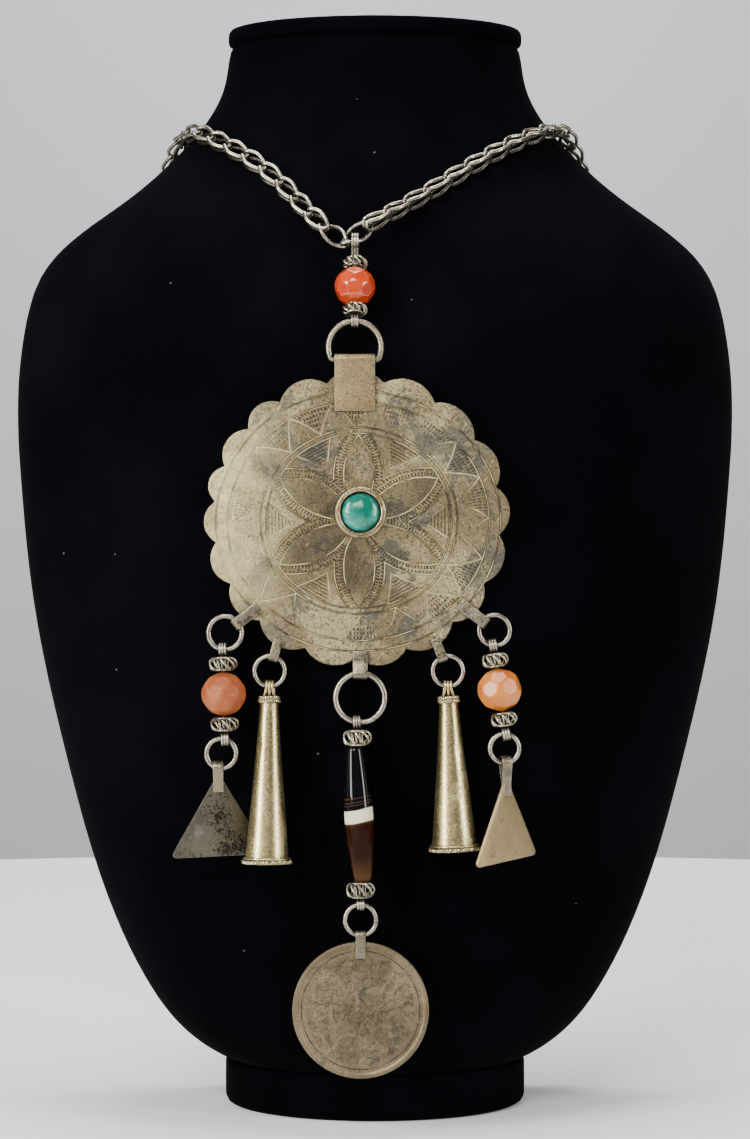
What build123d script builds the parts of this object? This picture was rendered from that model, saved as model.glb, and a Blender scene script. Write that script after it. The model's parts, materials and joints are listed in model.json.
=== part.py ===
from build123d import *
from math import cos, degrees, hypot, pi, radians, sin, sqrt, tan
import os

# A coin necklace hung on a black velvet neck bust.
# Millimetres, Z up, X to the wearer's left seen from the front, the front of the bust towards -Y.
# The origin is the middle of the underside of the bust's foot.

os.makedirs("parts", exist_ok=True)

# Running clearances
piece_gap = 0.1
seat_gap = 0.3
wire_clearance = 0.2

# The bust
bust_half_width = 106.2
bust_height = 318.2
lid_thickness = 4.9
lid_overhang = 0.6
lid_edge_radius = 1.6
foot_height = 13.4
foot_half_width = 44.4
foot_front = 29.8
foot_edge_radius = 2.5
bust_bulge = 48.0
bust_back = 33.0
bust_widest_y = 6.0

# Sections of the bust, from its underside to the top of its neck.
# height: share of the way from foot to lid, width: share of the half width,
# front: share of the bulge, corner: share of the section's own half width rounded at the back
bust_sections = [
    {"height": 0.000, "width": 0.405, "front": 0.635, "corner": 0.30},
    {"height": 0.010, "width": 0.465, "front": 0.665, "corner": 0.28},
    {"height": 0.034, "width": 0.552, "front": 0.710, "corner": 0.25},
    {"height": 0.074, "width": 0.636, "front": 0.765, "corner": 0.22},
    {"height": 0.155, "width": 0.745, "front": 0.845, "corner": 0.20},
    {"height": 0.289, "width": 0.858, "front": 0.940, "corner": 0.20},
    {"height": 0.456, "width": 0.958, "front": 0.992, "corner": 0.20},
    {"height": 0.560, "width": 0.989, "front": 1.000, "corner": 0.20},
    {"height": 0.645, "width": 1.000, "front": 0.972, "corner": 0.20},
    {"height": 0.728, "width": 0.976, "front": 0.860, "corner": 0.22},
    {"height": 0.775, "width": 0.930, "front": 0.738, "corner": 0.26},
    {"height": 0.808, "width": 0.846, "front": 0.662, "corner": 0.32},
    {"height": 0.848, "width": 0.692, "front": 0.575, "corner": 0.42},
    {"height": 0.888, "width": 0.563, "front": 0.487, "corner": 0.55},
    {"height": 0.925, "width": 0.472, "front": 0.428, "corner": 0.70},
    {"height": 0.960, "width": 0.423, "front": 0.385, "corner": 0.85},
    {"height": 1.000, "width": 0.405, "front": 0.363, "corner": 0.95},
]

# The chain
chain_wire_radius = 0.56
link_length = 11.0
link_width = 5.6
link_twist = 68.0
link_fullness = 0.84
link_corners = 10
link_pitch = 7.4

# The wires that the beads are threaded on
link_wire_radius = 0.37
loop_turns = 3
turn_pitch = 1.9

# The medallion
disc_x = -5.0
disc_z = 171.3
disc_half_width = 42.5
disc_half_height = 41.2
disc_thickness = 1.6
scallop_rise = 2.8
strap_thickness = 0.5
stone_offset = (1.0, 1.8)
stone_radius = 5.5
stone_height = 3.0
bezel_wall = 0.9
bezel_height = 2.0

# Angles of the notches between the hand cut scallops, counter-clockwise from the right
scallop_notches = [
    -6.6, 13.3, 34.7, 57.1, 79.0, 102.3, 122.5, 139.5, 157.6,
    172.8, 189.8, 207.9, 227.2, 248.7, 270.0, 290.2, 311.8, 332.4,
]

# The ring between the top bead and the medallion
d_ring_half_width = 6.9
d_ring_rise = 10.6
d_ring_corner = 1.0
d_ring_wire_radius = 0.875
top_bail_width = 11.4
top_bail_tail = 11.5
top_bail_drop = 3.0

# Rings that the drops hang from. right, up: centre of the ring from the middle of the disc,
# radius: to the middle of its wire, strap: width of its bail, tail: of that bail on the disc,
# lean: turn of that bail from straight down, positive towards the right, slit: where the ring is cut
drop_rings = {
    "left": {
        "right": -36.5, "up": -31.6, "radius": 4.6, "wire": 0.70, "strap": 3.2, "tail": 4.0, "lean": -52.0,
        "slit": 165.0,
    },
    "left_cone": {
        "right": -24.2, "up": -42.2, "radius": 4.2, "wire": 0.62, "strap": 2.6, "tail": 1.4, "lean": -16.0,
        "slit": 20.0,
    },
    "centre": {
        "right": 0.9, "up": -49.6, "radius": 6.8, "wire": 0.80, "strap": 4.0, "tail": 4.0, "lean": 0.0,
        "slit": 8.0,
    },
    "right_cone": {
        "right": 25.2, "up": -42.2, "radius": 4.2, "wire": 0.62, "strap": 2.6, "tail": 1.4, "lean": 22.0,
        "slit": 150.0,
    },
    "right": {
        "right": 38.1, "up": -30.9, "radius": 4.25, "wire": 0.67, "strap": 3.2, "tail": 4.0, "lean": 52.0,
        "slit": 200.0,
    },
}
coin_tail = 4.0

# Beads on their wires. hook: place of the wire's loop on the ring above, from straight down,
# lean: of the wire, both positive towards the right
bead_drops = {
    "left": {"hook": -9.0, "lean": 1.5, "bead": 6.5, "length": 12.6, "spacer": 4.1, "depth": 3.9,
             "ring": 4.1, "ring_wire": 0.70, "ring_lean": -14.0},
    "right": {"hook": -6.0, "lean": 8.5, "bead": 6.4, "length": 12.4, "spacer": 3.8, "depth": 3.9,
              "ring": 4.05, "ring_wire": 0.67, "ring_lean": -6.0},
}
spacer_bore = 0.62
spacer_wire = 0.40
spacer_turns = 10
bead_bore = 0.62
facet_depth = 0.045

# The agate and the coin
agate_length = 37.6
agate_end_radius = 2.3
agate_radius = 4.05
agate_waist = 0.53
centre_hook = -8.0
centre_lean = 1.2
centre_spacer = 4.15
centre_spacer_depth = 4.4
coin_ring_radius = 4.3
coin_ring_wire = 0.62
coin_radius = 19.0
coin_thickness = 1.9
coin_rim_width = 1.1
coin_rim_height = 0.3
coin_strap = 2.7
coin_strap_drop = 1.6

# The triangular plates
triangle_side = 27.6
triangle_height = 23.8
triangle_thickness = 0.8
triangle_corner = 1.2
triangle_strap = 2.8
triangle_tail = 4.2
hang_spread = 1.5

# hang: place of the strap's loop on the ring, from straight down, drop: from that loop to the apex
triangles = {
    "left": {"hang": -12.0, "drop": 1.3, "yaw": 12.0, "strap_yaw": 0.0, "pitch": 9.0, "roll": 0.0},
    "right": {"hang": 4.0, "drop": 3.8, "yaw": 49.0, "strap_yaw": 14.0, "pitch": 5.0, "roll": 0.5},
}

# The cones
cone_wall = 0.55
cone_top_radius = 2.5
rope_radius = 0.62
cone_neck = 1.4
cones = {
    "left": {"length": 44.5, "radius": 6.1, "lean": -0.8, "pitch": 2.2},
    "right": {"length": 41.0, "radius": 6.35, "lean": 2.4, "pitch": 0.0},
}

# The top link and the beads
top_bead_radius = 5.95
top_bead_length = 11.4
top_spacer = 3.55
top_spacer_depth = 3.0
top_link_neck = 3.2
top_link_right = -0.6

# The chain's route over the bust, chosen by hand, from beside the link in front over each
# shoulder and down the flat back to the hook
chain_left = [
    (-24.3, -27.3, 264.1), (-35.4, -20.1, 274.4), (-46.3, -11.2, 281.7), (-56.5, 4.0, 285.0),
    (-63.0, 22.0, 273.0), (-58.0, 35.0, 252.0), (-38.0, 35.0, 226.5),
]
chain_right = [
    (11.7, -29.8, 261.5), (23.8, -24.9, 269.6), (34.9, -19.1, 276.9), (45.8, -10.7, 282.9),
    (56.5, 4.0, 285.5), (63.0, 22.0, 273.0), (58.0, 35.0, 250.0), (38.0, 35.0, 222.0),
]
chain_lift = 4.3
chain_lift_reach = 26.0

# The link that the bead hangs from lies along the right side of the chain, with the wire a share
# of the way round it. The first link of the left side goes through its lower end: right, up and
# out from its middle, then its turn in the plane of the velvet and about its own length
front_link_turn = 35.0
front_link_hang = 0.68
corner_offset = (-6.13, 0.5, -1.05)
corner_turn = 141.0
corner_roll = -15.7
corner_roll_links = 3
chain_samples = 360

# The hook at the back
hook_height = 211.0
hook_wire_radius = 0.38
hook_bend = 2.6
hook_straight = 9.0
hook_catch = 2.9

bust_bottom = foot_height + piece_gap
neck_top = bust_height - lid_thickness - piece_gap
hang_y = -(bust_bulge + seat_gap + disc_thickness + piece_gap)


def section_edges(z, half_width, front, corner):
    """A level section: half an ellipse in front, rounded corners and a flat back."""
    mid_y = bust_widest_y
    depth = front + mid_y
    back_depth = bust_back - mid_y
    plane = Plane(origin=(0, 0, z))
    reach = corner * half_width
    with BuildLine(plane) as outline:
        EllipticalCenterArc((0, mid_y), half_width, depth, start_angle=180, arc_size=180)
        EllipticalCenterArc((half_width - reach, mid_y), reach, back_depth, start_angle=0, arc_size=90)
        Line((half_width - reach, bust_back), (-(half_width - reach), bust_back))
        EllipticalCenterArc((-(half_width - reach), mid_y), reach, back_depth, start_angle=90, arc_size=90)
    return outline.wire()


def bust_form():
    rise = neck_top - bust_bottom
    wires = [
        section_edges(
            bust_bottom + row["height"] * rise,
            row["width"] * bust_half_width,
            row["front"] * bust_bulge,
            row["corner"],
        )
        for row in bust_sections
    ]
    return loft([Face(w) for w in wires])


def bust_lid():
    """The oval board that closes the neck, a little wider than the neck."""
    top = bust_sections[-1]
    half_width = top["width"] * bust_half_width + lid_overhang
    front = top["front"] * bust_bulge + lid_overhang
    wire = section_edges(neck_top + piece_gap, half_width, front, top["corner"])
    lid = extrude(Face(wire), amount=lid_thickness)
    return fillet(lid.edges().group_by(Axis.Z)[-1], lid_edge_radius)


def bust_foot():
    """The low block that the bust stands on."""
    corner = bust_sections[0]["corner"]
    wire = section_edges(0, foot_half_width, foot_front, corner)
    foot = extrude(Face(wire), amount=foot_height)
    return fillet(foot.edges().group_by(Axis.Z)[0], foot_edge_radius)


# Everything that hangs is modelled facing the viewer: x right, y up, z towards the viewer,
# with the middle of the medallion as the origin and the rings' plane at z 0
front_view = Plane(origin=(disc_x, hang_y, disc_z), x_dir=(1, 0, 0), z_dir=(0, -1, 0)).location
disc_face_z = -piece_gap
disc_back_z = disc_face_z - disc_thickness


def along(angle, distance):
    """A step of the given length, turned from straight down towards the right."""
    return Vector(distance * sin(radians(angle)), -distance * cos(radians(angle)), 0)


def jump_ring(radius, wire, slit_angle):
    """A cut ring in the plane of the picture."""
    slit = degrees(piece_gap / radius)
    section = Plane.XZ * Pos(radius, 0) * Circle(wire)
    return Rot(0, 0, slit_angle) * revolve(section, Axis.Z, 360 - slit)


def bail_bore(wire, ring_radius, width, turn=0.0):
    """Radius of a straight bore that a ring's wire passes through, turned by some degrees."""
    half = width / 2
    sag = ring_radius - sqrt(ring_radius ** 2 - half ** 2) if ring_radius else 0
    return wire + sag + half * tan(radians(abs(turn))) + wire_clearance


def strap_bail(bore, width, drop, tail, face_z):
    """A folded strap: a loop round the origin, then a leaf down to a face at face_z.

    The leaf runs from the loop towards +y, and lies on the face from drop to drop + tail.
    """
    outer = bore + strap_thickness
    leaf = Polyline(
        (0, outer),
        (drop, face_z + strap_thickness),
        (drop + tail, face_z + strap_thickness),
        (drop + tail, face_z - strap_thickness / 2),
        (drop, face_z - strap_thickness / 2),
        (0, bore * 0.7),
        close=True,
    )
    profile = Circle(outer) + make_face(leaf)
    profile = profile - Circle(bore)
    side = Plane(origin=(0, 0, 0), x_dir=(0, 1, 0), z_dir=(1, 0, 0))
    return extrude(side * profile, amount=width / 2, both=True)


def disc_outline():
    """Scallops between the notches, each an arc that bulges outwards."""
    def spot(angle, inset):
        return (
            (disc_half_width - inset) * cos(radians(angle)),
            (disc_half_height - inset) * sin(radians(angle)),
        )

    arcs = []
    for index, start in enumerate(scallop_notches):
        end = scallop_notches[(index + 1) % len(scallop_notches)]
        end = end if end > start else end + 360
        arcs.append(ThreePointArc(spot(start, scallop_rise), spot((start + end) / 2, 0), spot(end, scallop_rise)))
    return make_face(Wire(arcs))


def ring_place(row):
    """Centre of a drop's upper ring, from the middle of the disc."""
    return Vector(row["right"], row["up"], 0)


def medallion():
    plate = Pos(0, 0, disc_back_z) * extrude(disc_outline(), amount=disc_thickness)
    stone_x, stone_y = stone_offset
    seat = Pos(stone_x, stone_y, disc_face_z)
    bezel_radius = stone_radius + piece_gap + bezel_wall
    bezel = seat * extrude(Circle(bezel_radius) - Circle(stone_radius + piece_gap), amount=bezel_height)
    plate = plate + bezel
    for row in drop_rings.values():
        bore = bail_bore(row["wire"], row["radius"], row["strap"])
        middle = ring_place(row) - along(row["lean"], row["radius"])
        inside = disc_half_width - hypot(middle.X, middle.Y)
        reach = max(bore + strap_thickness, -inside + bore + strap_thickness)
        bail = strap_bail(bore, row["strap"], reach, row["tail"], disc_face_z)
        plate = plate + Pos(middle) * Rot(0, 0, row["lean"]) * bail
    bore = bail_bore(d_ring_wire_radius, 0, top_bail_width)
    bail = Rot(0, 0, 180) * strap_bail(bore, top_bail_width, top_bail_drop, top_bail_tail, disc_face_z)
    return plate + Pos(top_bail_place()) * bail


def top_bail_place():
    """Middle of the loop of the wide bail on top of the disc."""
    return Vector(top_link_right, disc_half_height + top_bail_drop, 0)


def stone():
    """A cut stone: a girdle, two rows of facets and a table."""
    girdle = 0.3 * stone_height
    blank = extrude(Circle(stone_radius), amount=stone_height)
    rows = [
        {"count": 12, "tilt": 62.0, "share": 0.965},
        {"count": 8, "tilt": 33.0, "share": 1.0},
    ]
    foot = Vector(stone_radius, 0, girdle)
    crown_radius = 0.56 * stone_radius
    for row in rows:
        tilt = radians(row["tilt"])
        if row["tilt"] > 45:
            point = foot
        else:
            point = Vector(crown_radius, 0, stone_height)
        reach = point.X * sin(tilt) + point.Z * cos(tilt)
        for step in range(row["count"]):
            turn = 2 * pi * (step + 0.5) / row["count"]
            normal = Vector(sin(tilt) * cos(turn), sin(tilt) * sin(turn), cos(tilt))
            blank = split(blank, Plane(origin=normal * reach * row["share"], z_dir=normal), keep=Keep.BOTTOM)
    stone_x, stone_y = stone_offset
    return Pos(stone_x, stone_y, disc_face_z + piece_gap) * blank


def faceted_bead(radius, length, bore):
    """A hand cut bead: a ball with rows of flats, bored along y."""
    rows = [
        {"up": 0.0, "count": 8, "turn": 0.0},
        {"up": 38.0, "count": 8, "turn": 0.5},
        {"up": -38.0, "count": 8, "turn": 0.5},
    ]
    ball = Sphere(radius)
    reach = radius * (1 - facet_depth)
    for row in rows:
        for step in range(row["count"]):
            turn = 2 * pi * (step + row["turn"]) / row["count"]
            rise = radians(row["up"])
            normal = Vector(cos(rise) * cos(turn), sin(rise), cos(rise) * sin(turn))
            ball = split(ball, Plane(origin=normal * reach, z_dir=normal), keep=Keep.BOTTOM)
    for side in (1, -1):
        normal = Vector(0, side, 0)
        ball = split(ball, Plane(origin=normal * length / 2, z_dir=normal), keep=Keep.BOTTOM)
    return ball - Rot(90, 0, 0) * Cylinder(bore, 2 * length)


def spacer(radius, depth):
    """A cage of wire loops round a collar, seen in profile as a melon, bored along y."""
    collar_radius = 0.36 * radius
    collar = Cylinder(collar_radius, depth - 0.7 * spacer_wire)
    bend = depth / 2 - spacer_wire
    bend_middle = radius - spacer_wire - bend
    foot = collar_radius - spacer_wire / 2
    rise = sqrt(bend ** 2 - (bend_middle - foot) ** 2)
    loop = ThreePointArc((foot, 0, rise), (radius - spacer_wire, 0, 0), (foot, 0, -rise))
    section = Plane(origin=loop @ 0, z_dir=loop % 0) * Circle(spacer_wire)
    turn = sweep(section, path=loop)
    cage = collar
    for step in range(spacer_turns):
        cage = cage + Rot(0, 0, 360 * step / spacer_turns) * turn
    cage = cage - Cylinder(spacer_bore, 2 * depth)
    return Rot(90, 0, 0) * cage


def wound_loop(inner):
    """A wire wound round an axis along x: a few turns side by side."""
    pitch = turn_pitch * link_wire_radius
    profile = Sketch()
    for turn in range(loop_turns):
        shift = (turn - (loop_turns - 1) / 2) * pitch
        profile = profile + Pos(shift, inner + link_wire_radius) * Circle(link_wire_radius)
    return revolve(profile, Axis.X, 360)


def loop_inner(wire, ring_radius, turn):
    """Inner radius of a wound loop on a ring whose wire runs at some degrees to its axis."""
    half = loop_turns * link_wire_radius
    return bail_bore(wire, ring_radius, 2 * half, turn)


def linked_wire(length, upper_inner, lower_inner):
    """A straight wire from one wound loop to the next, from the origin down along -y."""
    upper = upper_inner + link_wire_radius
    lower = lower_inner + link_wire_radius
    stem_length = length - upper - lower
    stem = Pos(0, -upper - stem_length / 2, 0) * Rot(90, 0, 0) * Cylinder(link_wire_radius, stem_length)
    return wound_loop(upper_inner) + Pos(0, -length, 0) * wound_loop(lower_inner) + stem


def stack(upper_inner, lower_inner, parts):
    """Middles of the threaded parts below the upper loop, and the wire's whole length."""
    depth = upper_inner + 2 * link_wire_radius
    middles = []
    for height in parts:
        depth += piece_gap + height / 2
        middles.append(depth)
        depth += height / 2
    depth += piece_gap + lower_inner + 2 * link_wire_radius
    return middles, depth


def agate():
    """A long barrel bead, bored along y."""
    half = agate_length / 2
    waist_y = half - agate_waist * agate_length
    profile = Polyline((agate_end_radius, -half), (0, -half), (0, half), (agate_end_radius, half))
    side = Spline(
        (agate_end_radius, half),
        (agate_radius, waist_y),
        (agate_end_radius, -half),
    )
    barrel = revolve(make_face(Wire([*profile.edges(), side])), Axis.Y, 360)
    return barrel - Rot(90, 0, 0) * Cylinder(bead_bore, 2 * agate_length)


def coin(bore):
    """A worn coin under its folded strap, with the strap's loop at the origin."""
    middle = Vector(0, -coin_strap_drop - coin_radius, 0)
    back = -coin_thickness / 2
    face = coin_thickness / 2
    body = Pos(middle.X, middle.Y, back) * extrude(Circle(coin_radius), amount=coin_thickness - coin_rim_height)
    rim = Circle(coin_radius) - Circle(coin_radius - coin_rim_width)
    body = body + Pos(middle.X, middle.Y, back) * extrude(rim, amount=coin_thickness)
    drop = coin_strap_drop + 0.6
    strap = Rot(0, 0, 180) * strap_bail(bore, coin_strap, drop, coin_tail, face)
    hood = Pos(0, -coin_strap_drop - coin_tail / 2, 0) * Box(coin_strap, coin_tail, coin_thickness)
    return body + strap + hood


def triangle(row, bore):
    """A thin plate with rounded corners under its strap, the strap's loop at the origin."""
    half = triangle_side / 2
    drop = row["drop"]
    outline = Polyline(
        (0, -drop),
        (half, -drop - triangle_height),
        (-half, -drop - triangle_height),
        close=True,
    )
    plate = make_face(outline)
    plate = fillet(plate.vertices(), triangle_corner)
    plate = extrude(plate, amount=triangle_thickness / 2, both=True)
    plate = Rot(row["pitch"], row["yaw"], 0) * plate
    strap = Rot(0, 0, 180) * strap_bail(bore, triangle_strap, drop + 1.2, triangle_tail, triangle_thickness / 2)
    strap = Rot(row["pitch"], row["strap_yaw"], 0) * strap
    return Rot(0, 0, row["roll"]) * (plate + strap)


def cone(row, loop):
    """A hollow cone under a wound wire loop, its loop at the origin, open below."""
    top = -(loop + 2 * link_wire_radius) - 2 * rope_radius - cone_neck
    length = row["length"]
    radius = row["radius"]
    neck = cone_top_radius + 0.3 * (radius - cone_top_radius)
    outer = Spline((cone_top_radius, top), (neck, top - 0.36 * length), (radius, top - length))
    inner = Spline(
        (radius - cone_wall, top - length),
        (neck - cone_wall, top - 0.36 * length),
        (cone_top_radius - cone_wall, top - cone_wall),
    )
    lines = Wire([
        Line((0, top), (cone_top_radius, top)).edge(),
        outer.edge(),
        Line((radius, top - length), (radius - cone_wall, top - length)).edge(),
        inner.edge(),
        Line((cone_top_radius - cone_wall, top - cone_wall), (0, top - cone_wall)).edge(),
        Line((0, top - cone_wall), (0, top)).edge(),
    ])
    profile = make_face(lines)
    rope = rope_radius
    collar = 2.3 * rope
    for height, reach in (
        (top + 0.7 * rope, cone_top_radius),
        (top + collar, cone_top_radius - 0.1),
        (top - length + 2.2 * rope, radius + 0.25 * rope),
        (top - length + 0.6 * rope, radius + 0.45 * rope),
    ):
        profile = profile + Pos(reach, height) * Circle(rope)
    cap = cone_top_radius - 0.1
    profile = profile + Pos(cap / 2, top + collar / 2) * Rectangle(cap, collar)
    shell = revolve(profile, Axis.Y, 360)
    stem_top = -(loop + link_wire_radius)
    stem_length = stem_top - top
    stem = Pos(0, top + stem_length / 2, 0) * Rot(90, 0, 0) * Cylinder(link_wire_radius, stem_length)
    shell = shell + stem + wound_loop(loop)
    return Rot(0, 0, row["lean"]) * Rot(-row["pitch"], 0, 0) * shell


def d_ring():
    """A ring with a straight bar below, the bar's middle at the origin, its cut in the bar."""
    half = d_ring_half_width
    corner = d_ring_corner
    bar = half - corner
    bend = corner * (1 - cos(radians(45)))
    slit = piece_gap / 2
    path = Wire([
        Line((slit, 0), (bar, 0)).edge(),
        ThreePointArc((bar, 0), (half - bend, bend), (half, corner)).edge(),
        ThreePointArc((half, corner), (0, d_ring_rise), (-half, corner)).edge(),
        ThreePointArc((-half, corner), (bend - half, bend), (-bar, 0)).edge(),
        Line((-bar, 0), (-slit, 0)).edge(),
    ])
    section = Plane(origin=path @ 0, z_dir=path % 0) * Circle(d_ring_wire_radius)
    return sweep(section, path=path)


def link_points():
    """Corners of one chain link: an oval, turned about its length from end to end."""
    reach = link_length / 2 - chain_wire_radius
    half = link_width / 2 - chain_wire_radius
    points = []
    for step in range(link_corners):
        turn = 2 * pi * (step + 0.5) / link_corners
        along_link = reach * cos(turn) / cos(pi / link_corners)
        side = sin(turn)
        across = half * abs(side) ** link_fullness * (1 if side > 0 else -1)
        twist = radians(link_twist) * cos(turn) / cos(pi / link_corners)
        points.append(Vector(along_link, across * cos(twist), across * sin(twist)))
    return points


def corner_radii(points):
    """Arcs as large as the runs beside each corner allow."""
    radii = []
    count = len(points)
    for index in range(count):
        before = points[index] - points[index - 1]
        after = points[(index + 1) % count] - points[index]
        turn = radians(before.get_angle(after))
        radii.append(0.45 * min(before.length, after.length) / tan(turn / 2))
    return radii


def link_path():
    """Middle of a link's wire, from one side of its cut to the other."""
    points = link_points()
    start = (points[0] + points[-1]) / 2
    direction = (points[0] - points[-1]).normalized()
    slit = direction * piece_gap / 2
    return FilletPolyline(start + slit, *points, start - slit, radius=corner_radii(points))


def chain_link():
    """One wire link, lying along x with its flat side towards z."""
    path = link_path()
    section = Plane(origin=path @ 0, z_dir=path % 0) * Circle(chain_wire_radius)
    return sweep(section, path=path)


def clasp_half():
    """Half the length of the hook, from its middle to where a link hangs in its bend."""
    return hook_straight / 2 + hook_bend


def hook_path():
    """An S, level, with its middle at the origin."""
    half = hook_straight / 2
    bend = hook_bend
    side = bend * cos(radians(40))
    rise = bend * sin(radians(40))
    return Wire([
        ThreePointArc((-half + side, bend + rise), (-half - side, bend + rise), (-half - bend, bend)).edge(),
        ThreePointArc((-half - bend, bend), (-half - side, bend - rise), (-half, 0)).edge(),
        Line((-half, 0), (half, 0)).edge(),
        ThreePointArc((half, 0), (half + side, rise - bend), (half + bend, -bend)).edge(),
        ThreePointArc((half + bend, -bend), (half + side, -bend - rise), (half - side, -bend - rise)).edge(),
    ])


def clasp_hook(stand):
    """The hook, in the plane of the bust's back."""
    path = hook_path()
    section = Plane(origin=path @ 0, z_dir=path % 0) * Circle(hook_wire_radius)
    back = Plane(origin=(0, bust_back + stand, hook_height), x_dir=(1, 0, 0), z_dir=(0, -1, 0))
    return back.location * sweep(section, path=path)


def seated(form, point, stand):
    """The nearest place at a given height over the bust's surface, and the way outwards."""
    _, on_form, _ = form.distance_to_with_closest_points(point)
    outwards = (point - on_form).normalized()
    from_axis = on_form - Vector(0, bust_widest_y, on_form.Z)
    if outwards.dot(from_axis) < 0:
        outwards = -outwards
    return on_form + outwards * stand, outwards


def chain_lifted(distance):
    """Extra height of the chain over the bust beside the link that the bead hangs from."""
    share = max(0.0, 1 - distance / chain_lift_reach)
    return chain_lift * share * share * (3 - 2 * share)


def facing(location):
    """The way a link's length points."""
    return Plane(location).x_dir


def chain_path(form, front, start, route, stand, end):
    """Places along one side of the chain: distance, point and the way outwards."""
    points = [start.position]
    for spot in route:
        point, outwards = seated(form, Vector(*spot), stand)
        distance = (point - front).length
        points.append(point + outwards * chain_lifted(distance))
    points.append(end.position)
    curve = Spline(*points, tangents=[facing(start), facing(end)])
    places = []
    travelled = 0.0
    before = start.position
    for step in range(chain_samples + 1):
        guess = curve @ (step / chain_samples)
        height = stand + chain_lifted((guess - front).length)
        point, outwards = seated(form, guess, height)
        if step == 0:
            point = before
        travelled += (point - before).length
        places.append((travelled, point, outwards))
        before = point
    return places


def place_at(places, distance):
    """The point and the way outwards at a distance along one side of the chain."""
    for (near, point, outwards), (far, next_point, next_outwards) in zip(places, places[1:]):
        if near <= distance <= far:
            share = (distance - near) / (far - near)
            return point + (next_point - point) * share, outwards + (next_outwards - outwards) * share
    return places[-1][1], places[-1][2]


def link_location(form, places, distance, stand):
    """Where a link sits: its length along the chain, its flat side outwards, clear of a hollow."""
    step = link_pitch / 2
    point, outwards = place_at(places, distance)
    ahead, _ = place_at(places, distance + step)
    behind, _ = place_at(places, distance - step)
    direction = (ahead - behind).normalized()
    outwards = (outwards - direction * outwards.dot(direction)).normalized()
    lack = 0.0
    for side in (-1, 1):
        end = point + direction * side * link_length / 2
        on_form, away_from_form = seated(form, end, 0)
        lack = max(lack, stand - (end - on_form).dot(away_from_form))
    return Plane(origin=point + outwards * lack, x_dir=direction, z_dir=outwards).location


def chain(form, link, stand, front):
    """All the links, from the front link round both sides to the hook at the back."""
    corner = front * Rot(0, 0, -front_link_turn) * Pos(corner_offset) * Rot(0, 0, corner_turn)
    sides = (
        {"route": chain_left, "away": -1, "start": corner, "roll": corner_roll},
        {"route": chain_right, "away": 1, "start": front, "roll": 0.0},
    )
    links = []
    for side in sides:
        away = side["away"]
        spot = (away * (clasp_half() + hook_catch), bust_back + stand, hook_height - away * hook_bend)
        end = Plane(origin=spot, x_dir=(-away, 0, 0), z_dir=(0, 1, 0)).location
        places = chain_path(form, front.position, side["start"], side["route"], stand, end)
        length = places[-1][0]
        count = round(length / link_pitch)
        spots = [side["start"]]
        for index in range(1, count):
            spots.append(link_location(form, places, index * length / count, stand))
        spots.append(end)
        for index, place in enumerate(spots):
            roll = side["roll"] * max(0.0, 1 - index / corner_roll_links)
            links.append(link.moved(place * Rot(roll, 0, 0)))
    return Compound(links)


def top_link(form, stand):
    """The wire, spacers and bead between the chain and the D shaped ring, and the front link.

    The wire leans back from the ring until the link that it holds lies over the velvet.
    """
    upper_inner = loop_inner(chain_wire_radius, link_width, front_link_turn)
    lower_inner = loop_inner(d_ring_wire_radius, d_ring_half_width, 0)
    parts = [top_spacer_depth, top_bead_length, top_spacer_depth]
    middles, length = stack(upper_inner, lower_inner, parts)
    length += top_link_neck
    foot = top_bail_place() + Vector(0, d_ring_rise, 0)
    low, high = 0.0, 45.0
    for _ in range(30):
        tilt = (low + high) / 2
        head = foot + Vector(0, length * cos(radians(tilt)), -length * sin(radians(tilt)))
        spot = (front_view * Pos(head)).position
        point, outwards = seated(form, spot, 0)
        if (spot - point).length > stand + chain_lift:
            low = tilt
        else:
            high = tilt
    place = front_view * Pos(head) * Rot(-tilt, 0, 0)
    wire = linked_wire(length, upper_inner, lower_inner)
    side_length = link_wire_radius + top_link_neck
    side_stem = Rot(90, 0, 0) * Cylinder(link_wire_radius, side_length)
    for side in (-1, 1):
        shift = side * turn_pitch * link_wire_radius
        wire = wire + Pos(shift, -upper_inner - link_wire_radius - side_length / 2, 0) * side_stem
    middles = [middle + top_link_neck for middle in middles]
    pieces = {
        "top_wire": wire,
        "top_spacer_upper": Pos(0, -middles[0], 0) * spacer(top_spacer, top_spacer_depth),
        "top_bead": Pos(0, -middles[1], 0) * faceted_bead(top_bead_radius, top_bead_length, bead_bore),
        "top_spacer_lower": Pos(0, -middles[2], 0) * spacer(top_spacer, top_spacer_depth),
    }
    pieces = {name: place * piece for name, piece in pieces.items()}
    level = Plane(origin=spot, x_dir=(1, 0, 0), z_dir=outwards).location
    front = level * Rot(0, 0, front_link_turn) * Pos(-(link_path() @ front_link_hang))
    return pieces, front


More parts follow.
